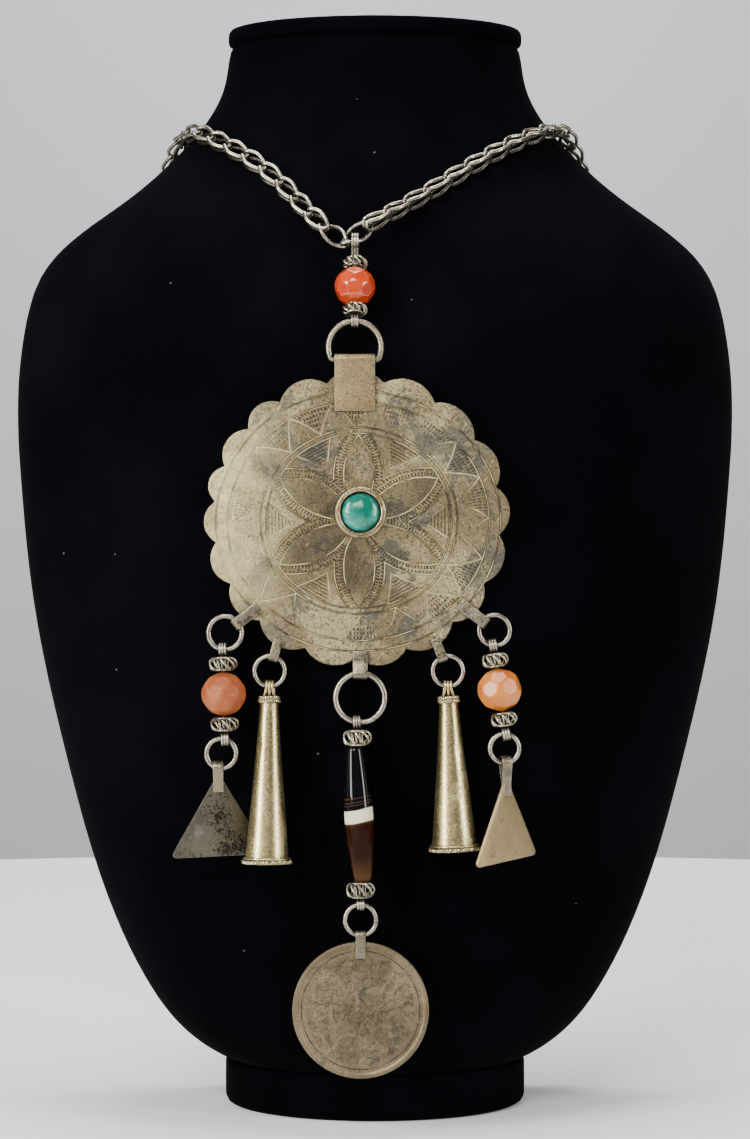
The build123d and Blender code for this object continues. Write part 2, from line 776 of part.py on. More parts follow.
def bead_drop(side):
    """A bead between two spacers on its wire, with the ring and the triangle below."""
    ring = drop_rings[side]
    row = bead_drops[side]
    upper_inner = loop_inner(ring["wire"], ring["radius"], row["lean"] - row["hook"])
    lower_inner = loop_inner(row["ring_wire"], row["ring"], row["lean"] - row["ring_lean"])
    parts = [row["depth"], row["length"], row["depth"]]
    middles, length = stack(upper_inner, lower_inner, parts)
    head = ring_place(ring) + along(row["hook"], ring["radius"])
    place = Pos(head) * Rot(0, 0, row["lean"])
    ring_middle = head + along(row["lean"], length) + along(row["ring_lean"], row["ring"])
    plate = triangles[side]
    hang = ring_middle + along(plate["hang"], row["ring"])
    turn = abs(plate["strap_yaw"]) + hang_spread * abs(plate["hang"])
    bore = bail_bore(row["ring_wire"], row["ring"], triangle_strap, turn)
    return {
        f"{side}_wire": place * linked_wire(length, upper_inner, lower_inner),
        f"{side}_spacer_upper": place * Pos(0, -middles[0], 0) * spacer(row["spacer"], row["depth"]),
        f"{side}_bead": place * Pos(0, -middles[1], 0) * faceted_bead(row["bead"], row["length"], bead_bore),
        f"{side}_spacer_lower": place * Pos(0, -middles[2], 0) * spacer(row["spacer"], row["depth"]),
        f"{side}_ring_lower": Pos(ring_middle) * jump_ring(row["ring"], row["ring_wire"], ring["slit"]),
        f"{side}_triangle": Pos(hang) * triangle(plate, bore),
    }


def centre_drop():
    """The agate between two spacers on its wire, with the ring and the coin below."""
    ring = drop_rings["centre"]
    upper_inner = loop_inner(ring["wire"], ring["radius"], centre_lean - centre_hook)
    lower_inner = loop_inner(coin_ring_wire, coin_ring_radius, centre_lean)
    parts = [centre_spacer_depth, agate_length, centre_spacer_depth]
    middles, length = stack(upper_inner, lower_inner, parts)
    head = ring_place(ring) + along(centre_hook, ring["radius"])
    place = Pos(head) * Rot(0, 0, centre_lean)
    ring_middle = head + along(centre_lean, length) + along(0, coin_ring_radius)
    hang = ring_middle + along(0, coin_ring_radius)
    bore = bail_bore(coin_ring_wire, coin_ring_radius, coin_strap)
    return {
        "centre_wire": place * linked_wire(length, upper_inner, lower_inner),
        "centre_spacer_upper": place * Pos(0, -middles[0], 0) * spacer(centre_spacer, centre_spacer_depth),
        "agate_bead": place * Pos(0, -middles[1], 0) * agate(),
        "centre_spacer_lower": place * Pos(0, -middles[2], 0) * spacer(centre_spacer, centre_spacer_depth),
        "centre_ring_lower": Pos(ring_middle) * jump_ring(coin_ring_radius, coin_ring_wire, 40),
        "coin": Pos(hang) * coin(bore),
    }


def hung_cone(side):
    """A cone on its ring."""
    ring = drop_rings[f"{side}_cone"]
    inner = loop_inner(ring["wire"], ring["radius"], 0)
    place = ring_place(ring) + along(0, ring["radius"])
    return {f"{side}_cone": Pos(place) * cone(cones[side], inner)}


def necklace_front():
    """Everything that hangs from the medallion, and the medallion."""
    pieces = {
        "medallion": medallion(),
        "stone": stone(),
        "top_ring": Pos(top_bail_place()) * d_ring(),
    }
    names = {
        "left": "left_ring_upper",
        "left_cone": "left_cone_ring",
        "centre": "centre_ring_upper",
        "right_cone": "right_cone_ring",
        "right": "right_ring_upper",
    }
    for key, name in names.items():
        row = drop_rings[key]
        pieces[name] = Pos(ring_place(row)) * jump_ring(row["radius"], row["wire"], row["slit"])
    for group in (bead_drop("left"), bead_drop("right"), centre_drop(), hung_cone("left"), hung_cone("right")):
        pieces.update(group)
    return {name: front_view * piece for name, piece in pieces.items()}


def main():
    form = bust_form()
    link = chain_link()
    stand = link.bounding_box().max.Z + piece_gap
    pieces = {
        "bust_form": form,
        "bust_lid": bust_lid(),
        "bust_foot": bust_foot(),
    }
    pieces.update(necklace_front())
    linked, front = top_link(form, stand)
    pieces.update(linked)
    pieces["chain"] = chain(form, link, stand, front)
    pieces["clasp_hook"] = clasp_hook(stand)
    for name, piece in pieces.items():
        export_step(piece, f"parts/{name}.step")


main()
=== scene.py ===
import json
import random
from math import cos, pi, radians, sin, sqrt

import bmesh
import bpy
import numpy as np
from mathutils import Matrix, Vector

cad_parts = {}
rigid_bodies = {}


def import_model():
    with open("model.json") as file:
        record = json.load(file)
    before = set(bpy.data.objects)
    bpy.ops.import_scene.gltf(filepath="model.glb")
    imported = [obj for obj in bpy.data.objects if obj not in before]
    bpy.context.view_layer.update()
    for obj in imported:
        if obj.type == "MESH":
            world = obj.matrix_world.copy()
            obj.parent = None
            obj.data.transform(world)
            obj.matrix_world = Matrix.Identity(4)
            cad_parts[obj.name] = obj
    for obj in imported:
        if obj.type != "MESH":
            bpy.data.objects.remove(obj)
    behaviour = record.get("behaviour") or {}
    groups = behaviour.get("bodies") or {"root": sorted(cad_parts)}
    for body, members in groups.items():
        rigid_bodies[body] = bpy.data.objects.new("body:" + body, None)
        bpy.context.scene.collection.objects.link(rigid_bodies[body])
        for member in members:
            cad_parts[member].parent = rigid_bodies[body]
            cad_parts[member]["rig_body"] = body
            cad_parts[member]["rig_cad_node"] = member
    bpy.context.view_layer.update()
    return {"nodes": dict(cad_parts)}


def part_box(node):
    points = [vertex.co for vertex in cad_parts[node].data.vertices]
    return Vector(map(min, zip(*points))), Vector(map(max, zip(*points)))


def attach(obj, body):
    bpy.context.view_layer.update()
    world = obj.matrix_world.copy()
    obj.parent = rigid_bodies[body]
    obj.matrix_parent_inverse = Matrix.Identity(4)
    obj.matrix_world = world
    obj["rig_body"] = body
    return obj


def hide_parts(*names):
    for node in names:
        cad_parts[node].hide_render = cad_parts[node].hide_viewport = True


# Coin necklace on a black velvet neck bust, dressed over its CAD solids.
# Everything is in metres. mm turns the sizes below into metres. Corners closer than weld are joined.
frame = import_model()
mm = 0.001
weld = 0.00002
nodes = frame["nodes"]
print("frame loaded, pieces:", len(nodes))


# Working helpers
def onlySelect(piece):
    bpy.ops.object.select_all(action="DESELECT")
    piece.select_set(True)
    bpy.context.view_layer.objects.active = piece


def toEdit(piece, mode="VERT"):
    onlySelect(piece)
    bpy.ops.object.mode_set(mode="EDIT")
    bpy.ops.mesh.select_mode(type=mode)


def toObject():
    bpy.ops.object.mode_set(mode="OBJECT")


def selectMesh():
    bpy.ops.mesh.select_all(action="SELECT")


def outlineOf(name, corners, fill="NOTHING"):
    # a ring of edges through corners in mm, left in edit mode
    bpy.ops.mesh.primitive_circle_add(vertices=len(corners), radius=1.0, fill_type=fill, location=(0, 0, 0))
    piece = bpy.context.object
    piece.name = name
    toEdit(piece)
    mesh = bmesh.from_edit_mesh(piece.data)
    mesh.verts.ensure_lookup_table()
    for spot, corner in zip(mesh.verts, corners):
        spot.co = Vector(corner) * mm
    bmesh.update_edit_mesh(piece.data)
    return piece


def roundWire(ring, radius, fineness=2, caps=True):
    # a line of edges becomes a round wire
    toObject()
    onlySelect(ring)
    bpy.ops.object.convert(target="CURVE")
    wire = bpy.context.object
    wire.data.bevel_depth = radius * mm
    wire.data.bevel_resolution = fineness
    wire.data.use_fill_caps = caps
    bpy.ops.object.convert(target="MESH")
    return bpy.context.object


def sameNormals():
    selectMesh()
    bpy.ops.mesh.normals_make_consistent(inside=False)


def thicken(piece, thickness, offset):
    wall = piece.modifiers.new("wall", "SOLIDIFY")
    wall.thickness = thickness * mm
    wall.offset = offset


def softenEdges(piece, width, segments):
    soften = piece.modifiers.new("soften", "BEVEL")
    soften.width = width * mm
    soften.segments = segments
    soften.angle_limit = radians(50)


def applyAll(piece):
    onlySelect(piece)
    for modifier in list(piece.modifiers):
        bpy.ops.object.modifier_apply(modifier=modifier.name)


def settle(piece, matrix):
    # puts a piece modelled round the origin where it hangs, and keeps its object at the origin
    piece.matrix_world = matrix
    onlySelect(piece)
    bpy.ops.object.transform_apply(location=True, rotation=True, scale=True)


def joinPieces(pieces, name):
    bpy.ops.object.select_all(action="DESELECT")
    for piece in pieces:
        piece.select_set(True)
    bpy.context.view_layer.objects.active = pieces[0]
    bpy.ops.object.join()
    pieces[0].name = name
    return pieces[0]


def copyOf(piece, name):
    copy = piece.copy()
    copy.data = piece.data.copy()
    copy.name = name
    bpy.context.scene.collection.objects.link(copy)
    return copy


def dress(piece, material):
    piece.data.materials.clear()
    piece.data.materials.append(material)


def finishPiece(piece, node, material, angle=35):
    # material, smooth shading and the place of the piece in the table
    if material:
        dress(piece, material)
    onlySelect(piece)
    bpy.ops.object.shade_smooth_by_angle(angle=radians(angle))
    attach(piece, "root")
    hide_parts(node)


def boxMiddle(node):
    low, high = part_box(node)
    return (low + high) / 2


def hangSpot(ring, wire, radius, hang=0.0):
    # the place on a ring's wire that is hang degrees from straight down
    low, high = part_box(ring)
    reach = radius * mm
    foot = low.z + wire * mm
    return Vector(((low.x + high.x) / 2 + reach * sin(radians(hang)), (low.y + high.y) / 2,
                   foot + reach * (1 - cos(radians(hang)))))


def frameAlong(up, middle):
    # a frame for a hanging piece: y along the given way up, z towards the viewer
    up = up.normalized()
    toViewer = Vector((0, -1, 0))
    toViewer = (toViewer - up * toViewer.dot(up)).normalized()
    right = up.cross(toViewer)
    turn = Matrix((right, up, toViewer)).transposed().to_4x4()
    turn.translation = middle
    return turn


def localBox(node, place):
    # lowest and highest corner of a CAD node in the frame of a hanging piece
    back = place.inverted()
    spots = np.array([back @ v.co for v in nodes[node].data.vertices])
    return Vector(spots.min(0)), Vector(spots.max(0))


# Materials
def feed(tree, node, values):
    # links or sets the sockets of a node
    for socket, value in values.items():
        if isinstance(value, bpy.types.NodeSocket):
            tree.links.new(value, node.inputs[socket])
        else:
            node.inputs[socket].default_value = value


def addNode(tree, kind, values=None, **settings):
    node = tree.nodes.new(kind)
    for name, value in settings.items():
        setattr(node, name, value)
    feed(tree, node, values or {})
    return node


def calc(tree, operation, first, second=0.0, third=0.0, clamp=False):
    return addNode(tree, "ShaderNodeMath", {0: first, 1: second, 2: third},
                   operation=operation, use_clamp=clamp).outputs[0]


def times(tree, first, second, clamp=False):
    return calc(tree, "MULTIPLY", first, second, clamp=clamp)


def less(tree, first, second, clamp=False):
    return calc(tree, "SUBTRACT", first, second, clamp=clamp)


def plus(tree, first, second):
    return calc(tree, "ADD", first, second)


def larger(tree, first, second):
    return calc(tree, "MAXIMUM", first, second)


def moveSpots(tree, operation, first, second):
    return addNode(tree, "ShaderNodeVectorMath", {0: first, 1: second}, operation=operation).outputs[0]


def noise(tree, place, scale, detail=2.0, roughness=0.5, distortion=0.0):
    return addNode(tree, "ShaderNodeTexNoise", {
        "Vector": place, "Scale": scale, "Detail": detail, "Roughness": roughness,
        "Distortion": distortion}).outputs


def spread(tree, value, low, high, toLow=0.0, toHigh=1.0):
    # smoothly spreads a value from one range to another
    node = addNode(tree, "ShaderNodeMapRange",
                   {"Value": value, "From Min": low, "From Max": high, "To Min": toLow, "To Max": toHigh},
                   interpolation_type="SMOOTHSTEP")
    return node.outputs["Result"]


def blend(tree, share, first, second):
    # mixes two colours, each a socket or three numbers
    first, second = ((*color, 1) if isinstance(color, tuple) else color for color in (first, second))
    return addNode(tree, "ShaderNodeMix", {0: share, 6: first, 7: second}, data_type="RGBA").outputs[2]


def startGroup(name, inputs, outputs):
    group = bpy.data.node_groups.new(name, "ShaderNodeTree")
    for label, value in inputs.items():
        kind = "NodeSocketVector" if isinstance(value, tuple) else "NodeSocketFloat"
        group.interface.new_socket(label, in_out="INPUT", socket_type=kind).default_value = value
    for label in outputs:
        group.interface.new_socket(label, in_out="OUTPUT", socket_type="NodeSocketFloat")
    entry = group.nodes.new("NodeGroupInput")
    leave = group.nodes.new("NodeGroupOutput")
    return group, entry.outputs, leave.inputs


def patinaGroup():
    # tarnish in blotches, fine specks, dirt in the hollows (with a long reach also a painted shade) and
    # bright worn edges
    group, given, result = startGroup(
        "patina",
        {"Place": (0.0, 0.0, 0.0), "Blotch Scale": 90.0, "Blotch Cover": 0.5, "Speck Scale": 900.0,
         "Hollow Reach": 0.0012, "Edge Reach": 0.0003},
        ["Blotch", "Speck", "Hollow", "Edge"],
    )
    cloud = noise(group, given["Place"], given["Blotch Scale"], 8.0, 0.68, 0.35)[0]
    start = less(group, 0.78, times(group, given["Blotch Cover"], 0.5))
    blotch = times(group, less(group, cloud, start), 14.0, clamp=True)
    group.links.new(blotch, result["Blotch"])
    speck = noise(group, given["Place"], given["Speck Scale"], 5.0, 0.7)[0]
    group.links.new(spread(group, speck, 0.42, 0.68), result["Speck"])
    hollow = addNode(group, "ShaderNodeAmbientOcclusion", {"Distance": given["Hollow Reach"]}, samples=6)
    group.links.new(spread(group, hollow.outputs["AO"], 0.95, 0.35), result["Hollow"])
    normal = addNode(group, "ShaderNodeNewGeometry").outputs["Normal"]
    rounded = addNode(group, "ShaderNodeBevel", {"Radius": given["Edge Reach"]}, samples=4)
    likeness = addNode(group, "ShaderNodeVectorMath", {0: normal, 1: rounded.outputs[0]},
                       operation="DOT_PRODUCT").outputs["Value"]
    group.links.new(spread(group, likeness, 0.995, 0.86), result["Edge"])
    return group


def scratchGroup():
    # hairline scratches that run in a few directions
    group, given, result = startGroup(
        "hairlines", {"Place": (0.0, 0.0, 0.0), "Scale": 260.0, "Amount": 0.5}, ["Line"])
    total = None
    for turn in (0.5, 1.9, 2.7):
        turned = addNode(group, "ShaderNodeMapping", {
            "Vector": given["Place"], "Rotation": (0.3, turn, 0.2), "Scale": (1.0, 1.0, 26.0)},
            vector_type="TEXTURE").outputs[0]
        streak = noise(group, turned, times(group, given["Scale"], 8.0), 1.0)[0]
        line = spread(group, streak, 0.70, 0.78)
        total = line if total is None else larger(group, total, line)
    group.links.new(times(group, total, given["Amount"]), result["Line"])
    return group


patina = patinaGroup()
hairlines = scratchGroup()


def startMaterial(name):
    material = bpy.data.materials.new(name)
    material.use_nodes = True
    tree = material.node_tree
    shader = tree.nodes["Principled BSDF"]
    place = addNode(tree, "ShaderNodeTexCoord").outputs["Object"]
    return material, tree, shader, place


def useGroup(tree, group, values):
    return addNode(tree, "ShaderNodeGroup", values, node_tree=group).outputs


def bump(tree, shader, height, depth, reach=1.0):
    node = addNode(tree, "ShaderNodeBump", {"Height": height, "Strength": reach, "Distance": depth})
    tree.links.new(node.outputs[0], shader.inputs["Normal"])


def metalMaterial(name, look, ornament=None):
    material, tree, shader, place = startMaterial(name)
    marks = useGroup(tree, patina, {"Place": place, "Blotch Scale": look["blotchScale"],
                                    "Blotch Cover": look["blotchCover"], "Speck Scale": look["speckScale"],
                                    "Hollow Reach": look["hollowReach"] * mm,
                                    "Edge Reach": look["edgeReach"] * mm})
    line = useGroup(tree, hairlines, {"Place": place, "Scale": look["scratchScale"],
                                      "Amount": look["scratches"]})["Line"]
    blotch, speck, hollow, edge = (marks[label] for label in ("Blotch", "Speck", "Hollow", "Edge"))
    tone = spread(tree, noise(tree, place, look["toneScale"], 3.0)[0], 0.42, 0.62)
    tint = blend(tree, tone, look["color"], look["toneColor"])
    tint = blend(tree, times(tree, speck, look["speckShare"]), tint, look["speckColor"])
    tint = blend(tree, times(tree, blotch, look["blotchShare"]), tint, look["blotchColor"])
    tint = blend(tree, times(tree, line, 0.5), tint, look["edgeColor"])
    height = less(tree, less(tree, times(tree, speck, -0.5), blotch), line)
    if ornament:
        # an ornament's light and dark marks include painted highlight and painted shade on the medallion
        # and the chain
        core, dark, depth = ornament(tree, place)
        tint = blend(tree, dark, tint, look["hollowColor"])
        tint = blend(tree, core, tint, look["edgeColor"])
        height = less(tree, height, times(tree, depth, 5.0))
    tint = blend(tree, times(tree, edge, look["edgeShare"]), tint, look["edgeColor"])
    tint = blend(tree, times(tree, hollow, look["hollowShare"]), tint, look["hollowColor"])
    rough = plus(tree, look["roughness"], times(tree, blotch, 0.18))
    feed(tree, shader, {
        "Base Color": tint, "Roughness": plus(tree, rough, times(tree, speck, 0.08)),
        "Metallic": less(tree, look["metallic"], times(tree, hollow, 0.35), clamp=True)})
    bump(tree, shader, height, look["bumpDepth"] * mm)
    return material


# Engraving of the medallion, in mm from its middle: circles, a zigzag, a six petal rosette and
# rows of punched dashes. The middles and ratios follow the hand drawn circles.
engravingValues = {
    "middle": (-5.0, -50.0, 171.3), "wobble": 0.5,
    "outerMiddle": (0.35, -0.65), "outerRatio": 0.915, "outerCircles": (39.4, 36.2),
    "innerMiddle": (0.5, -0.6), "innerRatio": 0.943, "innerCircles": (27.35, 25.7),
    "triangles": 18, "firstTriangle": -88.3, "zigzagFoot": 27.8, "zigzagTop": 36.0,
    "emptyShare": 0.3, "dashes": 230.0, "rowStep": 1.35,
    "petalAcross": 13.5, "petalAlong": 13.6, "petalRadius": 17.8, "band": 2.7,
    "ticks": 132.0, "dots": 118.0, "wedgeFoot": 17.6, "wedgeSlope": 1.45, "wedgeStep": 0.95, "line": 0.19,
}


# Besides the cuts it paints a highlight in the cut lines and on the left of the disc, and shade beside the
# lines.
def engraving(tree, place):
    look = engravingValues
    centred = addNode(tree, "ShaderNodeMapping", {
        "Vector": place, "Location": tuple(-part for part in look["middle"]),
        "Scale": (1000.0, 1000.0, 1000.0)}).outputs[0]
    moved = moveSpots(tree, "SUBTRACT", noise(tree, place, 70.0)["Color"], (0.5, 0.5, 0.5))
    moved = addNode(tree, "ShaderNodeVectorMath", {0: moved, "Scale": look["wobble"] * 2},
                    operation="SCALE").outputs[0]
    axes = addNode(tree, "ShaderNodeSeparateXYZ", {0: moveSpots(tree, "ADD", centred, moved)}).outputs

    def both(first, second):
        return times(tree, first, second)

    def either(first, second):
        return larger(tree, first, second)

    def minus(first, second):
        return less(tree, first, second)

    def lengthOf(u, v):
        return calc(tree, "SQRT", plus(tree, both(u, u), both(v, v)))

    def polar(middle, ratio):
        u = minus(axes[0], middle[0])
        v = calc(tree, "DIVIDE", minus(axes[2], middle[1]), ratio)
        return lengthOf(u, v), calc(tree, "ARCTAN2", v, u)

    def waves(value, pace, low, high):
        # a row of dashes along value
        return spread(tree, calc(tree, "SINE", both(value, pace)), low, high)

    def stroke(distance, width):
        away = calc(tree, "ABSOLUTE", distance)
        return spread(tree, away, width * 0.35, width, 1.0, 0.0)

    # a painted shade on both sides of a cut line, standing in for the shaded wall of the cut
    def shadeBeside(distance):
        away = calc(tree, "ABSOLUTE", distance)
        return spread(tree, away, 0.18, 0.55, 1.0, 0.0)

    def within(value, low, high, soft=0.12):
        inside = spread(tree, value, low - soft, low + soft)
        return both(inside, spread(tree, value, high + soft, high - soft))

    outer, outerTurn = polar(look["outerMiddle"], look["outerRatio"])
    inner, innerTurn = polar(look["innerMiddle"], look["innerRatio"])
    distances = [minus(outer, radius) for radius in look["outerCircles"]]
    distances += [minus(inner, radius) for radius in look["innerCircles"]]

    # zigzag between the two pairs of circles
    phase = both(minus(outerTurn, radians(look["firstTriangle"])), look["triangles"] / (2 * pi))
    foot, top = look["zigzagFoot"], look["zigzagTop"]
    ring = minus(outer, both(minus(outer, inner), 0.5))
    zigzag = calc(tree, "MULTIPLY_ADD", calc(tree, "PINGPONG", phase, 0.5), 2 * (top - foot), foot)
    beyond = minus(ring, zigzag)
    zigzagLine = both(stroke(both(beyond, 0.575), look["line"] * 1.1), within(ring, foot - 0.3, top))
    chance = addNode(tree, "ShaderNodeTexWhiteNoise", {"W": calc(tree, "ROUND", phase)},
                     noise_dimensions="1D").outputs["Value"]
    filled = calc(tree, "GREATER_THAN", chance, look["emptyShare"])
    dashes = both(waves(outerTurn, look["dashes"], -0.1, 0.7),
                  waves(outer, 2 * pi / look["rowStep"], -0.5, 0.2))
    inTriangle = both(spread(tree, beyond, 0.9, 1.4), within(ring, foot, top - 0.4))
    hatch = both(dashes, both(filled, inTriangle))

    # six petals, folded into one half petal
    fold = calc(tree, "PINGPONG", minus(innerTurn, radians(90 - 720)), radians(30))
    along = both(inner, calc(tree, "COSINE", fold))
    across = both(inner, calc(tree, "SINE", fold))
    fromX = minus(along, look["petalAlong"])
    fromY = plus(tree, across, look["petalAcross"])
    reach = lengthOf(fromX, fromY)
    arcTurn = calc(tree, "ARCTAN2", fromY, fromX)
    radius, band = look["petalRadius"], look["band"]
    inCircle = within(inner, 2.0, look["innerCircles"][1])
    petalLine = both(stroke(minus(reach, radius), look["line"] * 1.25), inCircle)
    bandLine = both(stroke(minus(reach, radius + band), look["line"]), inCircle)
    ticks = both(waves(arcTurn, look["ticks"], -0.2, 0.6), within(reach, radius + 0.35, radius + 1.3))
    dots = both(waves(arcTurn, look["dots"], 0.0, 0.7), within(reach, radius + 1.75, radius + 2.35))
    punched = both(either(ticks, dots), within(inner, 8.0, look["innerCircles"][1] - 0.4))

    # small wedges between the petals
    side = both(inner, calc(tree, "SINE", minus(radians(30), fold)))
    out = both(inner, calc(tree, "COSINE", minus(radians(30), fold)))
    wedge = minus(out, calc(tree, "MULTIPLY_ADD", side, look["wedgeSlope"], look["wedgeFoot"]))
    outside = both(spread(tree, reach, radius + band, radius + band + 0.2), within(inner, 5.0, 25.6))
    wedgeLine = both(stroke(both(wedge, 0.57), look["line"]), outside)
    strokes = waves(out, 2 * pi / look["wedgeStep"], 0.2, 0.8)
    wedgeHatch = both(both(strokes, spread(tree, wedge, 0.7, 1.2)), outside)

    # Beside every line a painted shade, which is darkened towards the hollow colour together with the
    # punches.
    circles, lineShade = None, None
    for distance in distances:
        circle, shade = stroke(distance, look["line"]), shadeBeside(distance)
        circles = circle if circles is None else either(circles, circle)
        lineShade = shade if lineShade is None else either(lineShade, shade)
    shadeBesidePetals = either(shadeBeside(minus(reach, radius)), shadeBeside(minus(reach, radius + band)))
    lineShade = either(lineShade, both(inCircle, shadeBesidePetals))
    lines = either(either(circles, zigzagLine), either(petalLine, either(bandLine, wedgeLine)))
    punches = either(hatch, either(punched, both(wedgeHatch, 0.8)))
    worn = noise(tree, place, 130.0, 3.0)[0]
    kept = spread(tree, worn, 0.30, 0.52, 0.55, 1.0)
    # the bright line cores are partly brighter cut metal and partly a painted highlight on the walls of the
    # cuts
    core = both(both(lines, spread(tree, worn, 0.40, 0.60)), 0.7)
    depth = both(kept, either(lines, both(punches, 0.7)))
    petals = both(both(spread(tree, reach, radius + 0.3, radius - 0.6), spread(tree, inner, 25.6, 24.6)),
                  spread(tree, worn, 0.36, 0.60, 0.25, 0.6))
    dark = either(both(kept, either(both(lineShade, 0.8), both(punches, 0.8))), petals)
    # Painted highlight: the left part of the disc is lightened towards the bright metal colour, where more
    # light falls on it.
    paintedLeftLight = spread(tree, axes[0], -14.0, -42.0, 0.0, 0.6)
    core = either(core, both(paintedLeftLight, spread(tree, worn, 0.34, 0.62, 0.25, 1.0)))
    return core, dark, depth


reliefValues = {"node": "coin", "radius": 19.0, "line": 16.4, "field": 15.2}


def coinRelief(tree, place):
    # the worn, unreadable relief of a coin: soft lumps in the field, short worn strokes, a line at the rim
    look = reliefValues
    low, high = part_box(look["node"])
    middle = (-(low.x + high.x) / 2, 0.0, -(low.z + look["radius"] * mm))
    flat = moveSpots(tree, "MULTIPLY", moveSpots(tree, "ADD", place, middle), (1000.0, 0.0, 1000.0))
    reach = addNode(tree, "ShaderNodeVectorMath", {0: flat}, operation="LENGTH").outputs["Value"]
    lumps = noise(tree, flat, 0.24, 6.0, 0.68, 1.6)[0]
    strokes = noise(tree, flat, 0.95, 3.0, 0.55, 2.4)[0]
    field = spread(tree, reach, look["field"] + 0.6, look["field"] - 0.8)
    ridge = spread(tree, calc(tree, "ABSOLUTE", less(tree, strokes, 0.5)), 0.012, 0.045, 1.0, 0.0)
    away = calc(tree, "ABSOLUTE", less(tree, reach, look["line"]))
    rim = times(tree, spread(tree, away, 0.08, 0.22, 1.0, 0.0), spread(tree, lumps, 0.38, 0.55, 0.2, 0.9))
    dents = times(tree, times(tree, ridge, field), spread(tree, lumps, 0.40, 0.58))
    patches = times(tree, spread(tree, lumps, 0.50, 0.72, 0.0, 0.6), field)
    dark = larger(tree, times(tree, dents, 0.75), larger(tree, patches, rim))
    light = times(tree, spread(tree, lumps, 0.46, 0.34, 0.0, 0.25), field)
    return light, dark, larger(tree, times(tree, dents, 0.6), times(tree, patches, 0.9))


def blackSpeckle(tree, place):
    # fine black tarnish in drifts over the dark plate
    drift = noise(tree, place, 130.0, 3.0)[0]
    grain = noise(tree, place, 1500.0, 5.0, 0.65)[0]
    needed = less(tree, 0.90, times(tree, drift, 0.72))
    dark = times(tree, less(tree, grain, needed), 16.0, clamp=True)
    return spread(tree, drift, 0.40, 0.30, 0.0, 0.12), dark, times(tree, dark, 0.15)


def paintedShadeOnFarHalf(tree, place):
    # painted shade: the far half of every folded link, lying behind the near half, is darkened
    far = addNode(tree, "ShaderNodeAttribute", attribute_name="shadedFarHalf").outputs["Fac"]
    return 0.0, times(tree, far, 0.9), 0.0


silverLook = {
    "color": (0.27, 0.235, 0.165), "blotchColor": (0.09, 0.085, 0.07), "speckColor": (0.17, 0.14, 0.09),
    "edgeColor": (0.50, 0.45, 0.34), "hollowColor": (0.02, 0.017, 0.012),
    "blotchScale": 110.0, "blotchCover": 0.46, "blotchShare": 0.75, "speckScale": 1400.0, "speckShare": 0.5,
    "hollowReach": 1.2, "hollowShare": 0.85, "edgeReach": 0.25, "edgeShare": 0.6,
    "scratchScale": 200.0, "scratches": 0.5, "roughness": 0.27, "metallic": 0.97, "bumpDepth": 0.05,
    "toneScale": 60.0, "toneColor": (0.29, 0.24, 0.15),
}
discLook = dict(
    silverLook, color=(0.17, 0.135, 0.078), toneColor=(0.38, 0.315, 0.175), toneScale=42.0,
    blotchColor=(0.055, 0.058, 0.056), blotchScale=60.0, blotchCover=0.53, blotchShare=0.7,
    speckColor=(0.05, 0.038, 0.022), speckScale=1500.0, speckShare=1.0, edgeColor=(0.74, 0.64, 0.34),
    roughness=0.32, metallic=0.95, scratches=0.6, edgeShare=0.6, bumpDepth=0.2)
bailLook = dict(
    silverLook, color=(0.30, 0.225, 0.12), toneColor=(0.21, 0.145, 0.07), toneScale=95.0, hollowReach=1.0,
    speckColor=(0.10, 0.072, 0.04), speckScale=2600.0, speckShare=0.9, bumpDepth=0.08)
bezelLook = dict(
    silverLook, color=(0.50, 0.41, 0.22), toneColor=(0.30, 0.20, 0.08), toneScale=260.0,
    hollowColor=(0.07, 0.026, 0.006), hollowReach=1.5, hollowShare=1.0, roughness=0.26)
spacerLook = dict(
    silverLook, color=(0.46, 0.43, 0.31), toneColor=(0.34, 0.31, 0.23), blotchCover=0.4,
    hollowColor=(0.035, 0.03, 0.02), hollowReach=1.6, hollowShare=0.95, roughness=0.28)
# The chain's long hollow reach darkens the back layer of its links: partly tarnish, partly a painted shade.
chainLook = dict(
    silverLook, color=(0.30, 0.265, 0.215), blotchColor=(0.07, 0.065, 0.06), toneColor=(0.38, 0.34, 0.27),
    edgeColor=(0.58, 0.52, 0.43), blotchScale=260.0, hollowReach=2.6, hollowShare=0.95, speckShare=0.2,
    scratches=0.15, bumpDepth=0.015, roughness=0.26)
strapLook = dict(silverLook, color=(0.18, 0.158, 0.115), toneColor=(0.22, 0.18, 0.12))
coneLook = dict(
    silverLook, color=(0.42, 0.345, 0.17), toneColor=(0.56, 0.47, 0.24), blotchColor=(0.16, 0.115, 0.06),
    blotchCover=0.42, blotchScale=150.0, blotchShare=0.3, speckShare=0.2, scratches=0.3,
    bumpDepth=0.025, roughness=0.27)
coinLook = dict(
    silverLook, color=(0.145, 0.115, 0.07), toneColor=(0.215, 0.175, 0.11), toneScale=90.0,
    blotchColor=(0.05, 0.047, 0.043), blotchScale=150.0, blotchCover=0.46, blotchShare=0.55,
    speckColor=(0.07, 0.052, 0.032), speckScale=2400.0, speckShare=0.8, edgeColor=(0.30, 0.25, 0.15),
    roughness=0.44, scratches=0.2, bumpDepth=0.05)
darkPlateLook = dict(
    silverLook, color=(0.062, 0.058, 0.045), toneColor=(0.09, 0.083, 0.064), blotchCover=0.3,
    speckShare=0.3, edgeColor=(0.5, 0.48, 0.42), roughness=0.36, scratches=0.2)
palePlateLook = dict(
    silverLook, color=(0.33, 0.245, 0.125), toneColor=(0.41, 0.31, 0.16), toneScale=110.0,
    blotchColor=(0.15, 0.115, 0.07), blotchCover=0.42, blotchScale=300.0,
    speckColor=(0.15, 0.115, 0.07), speckScale=3000.0, speckShare=0.7, roughness=0.42, scratches=0.3)

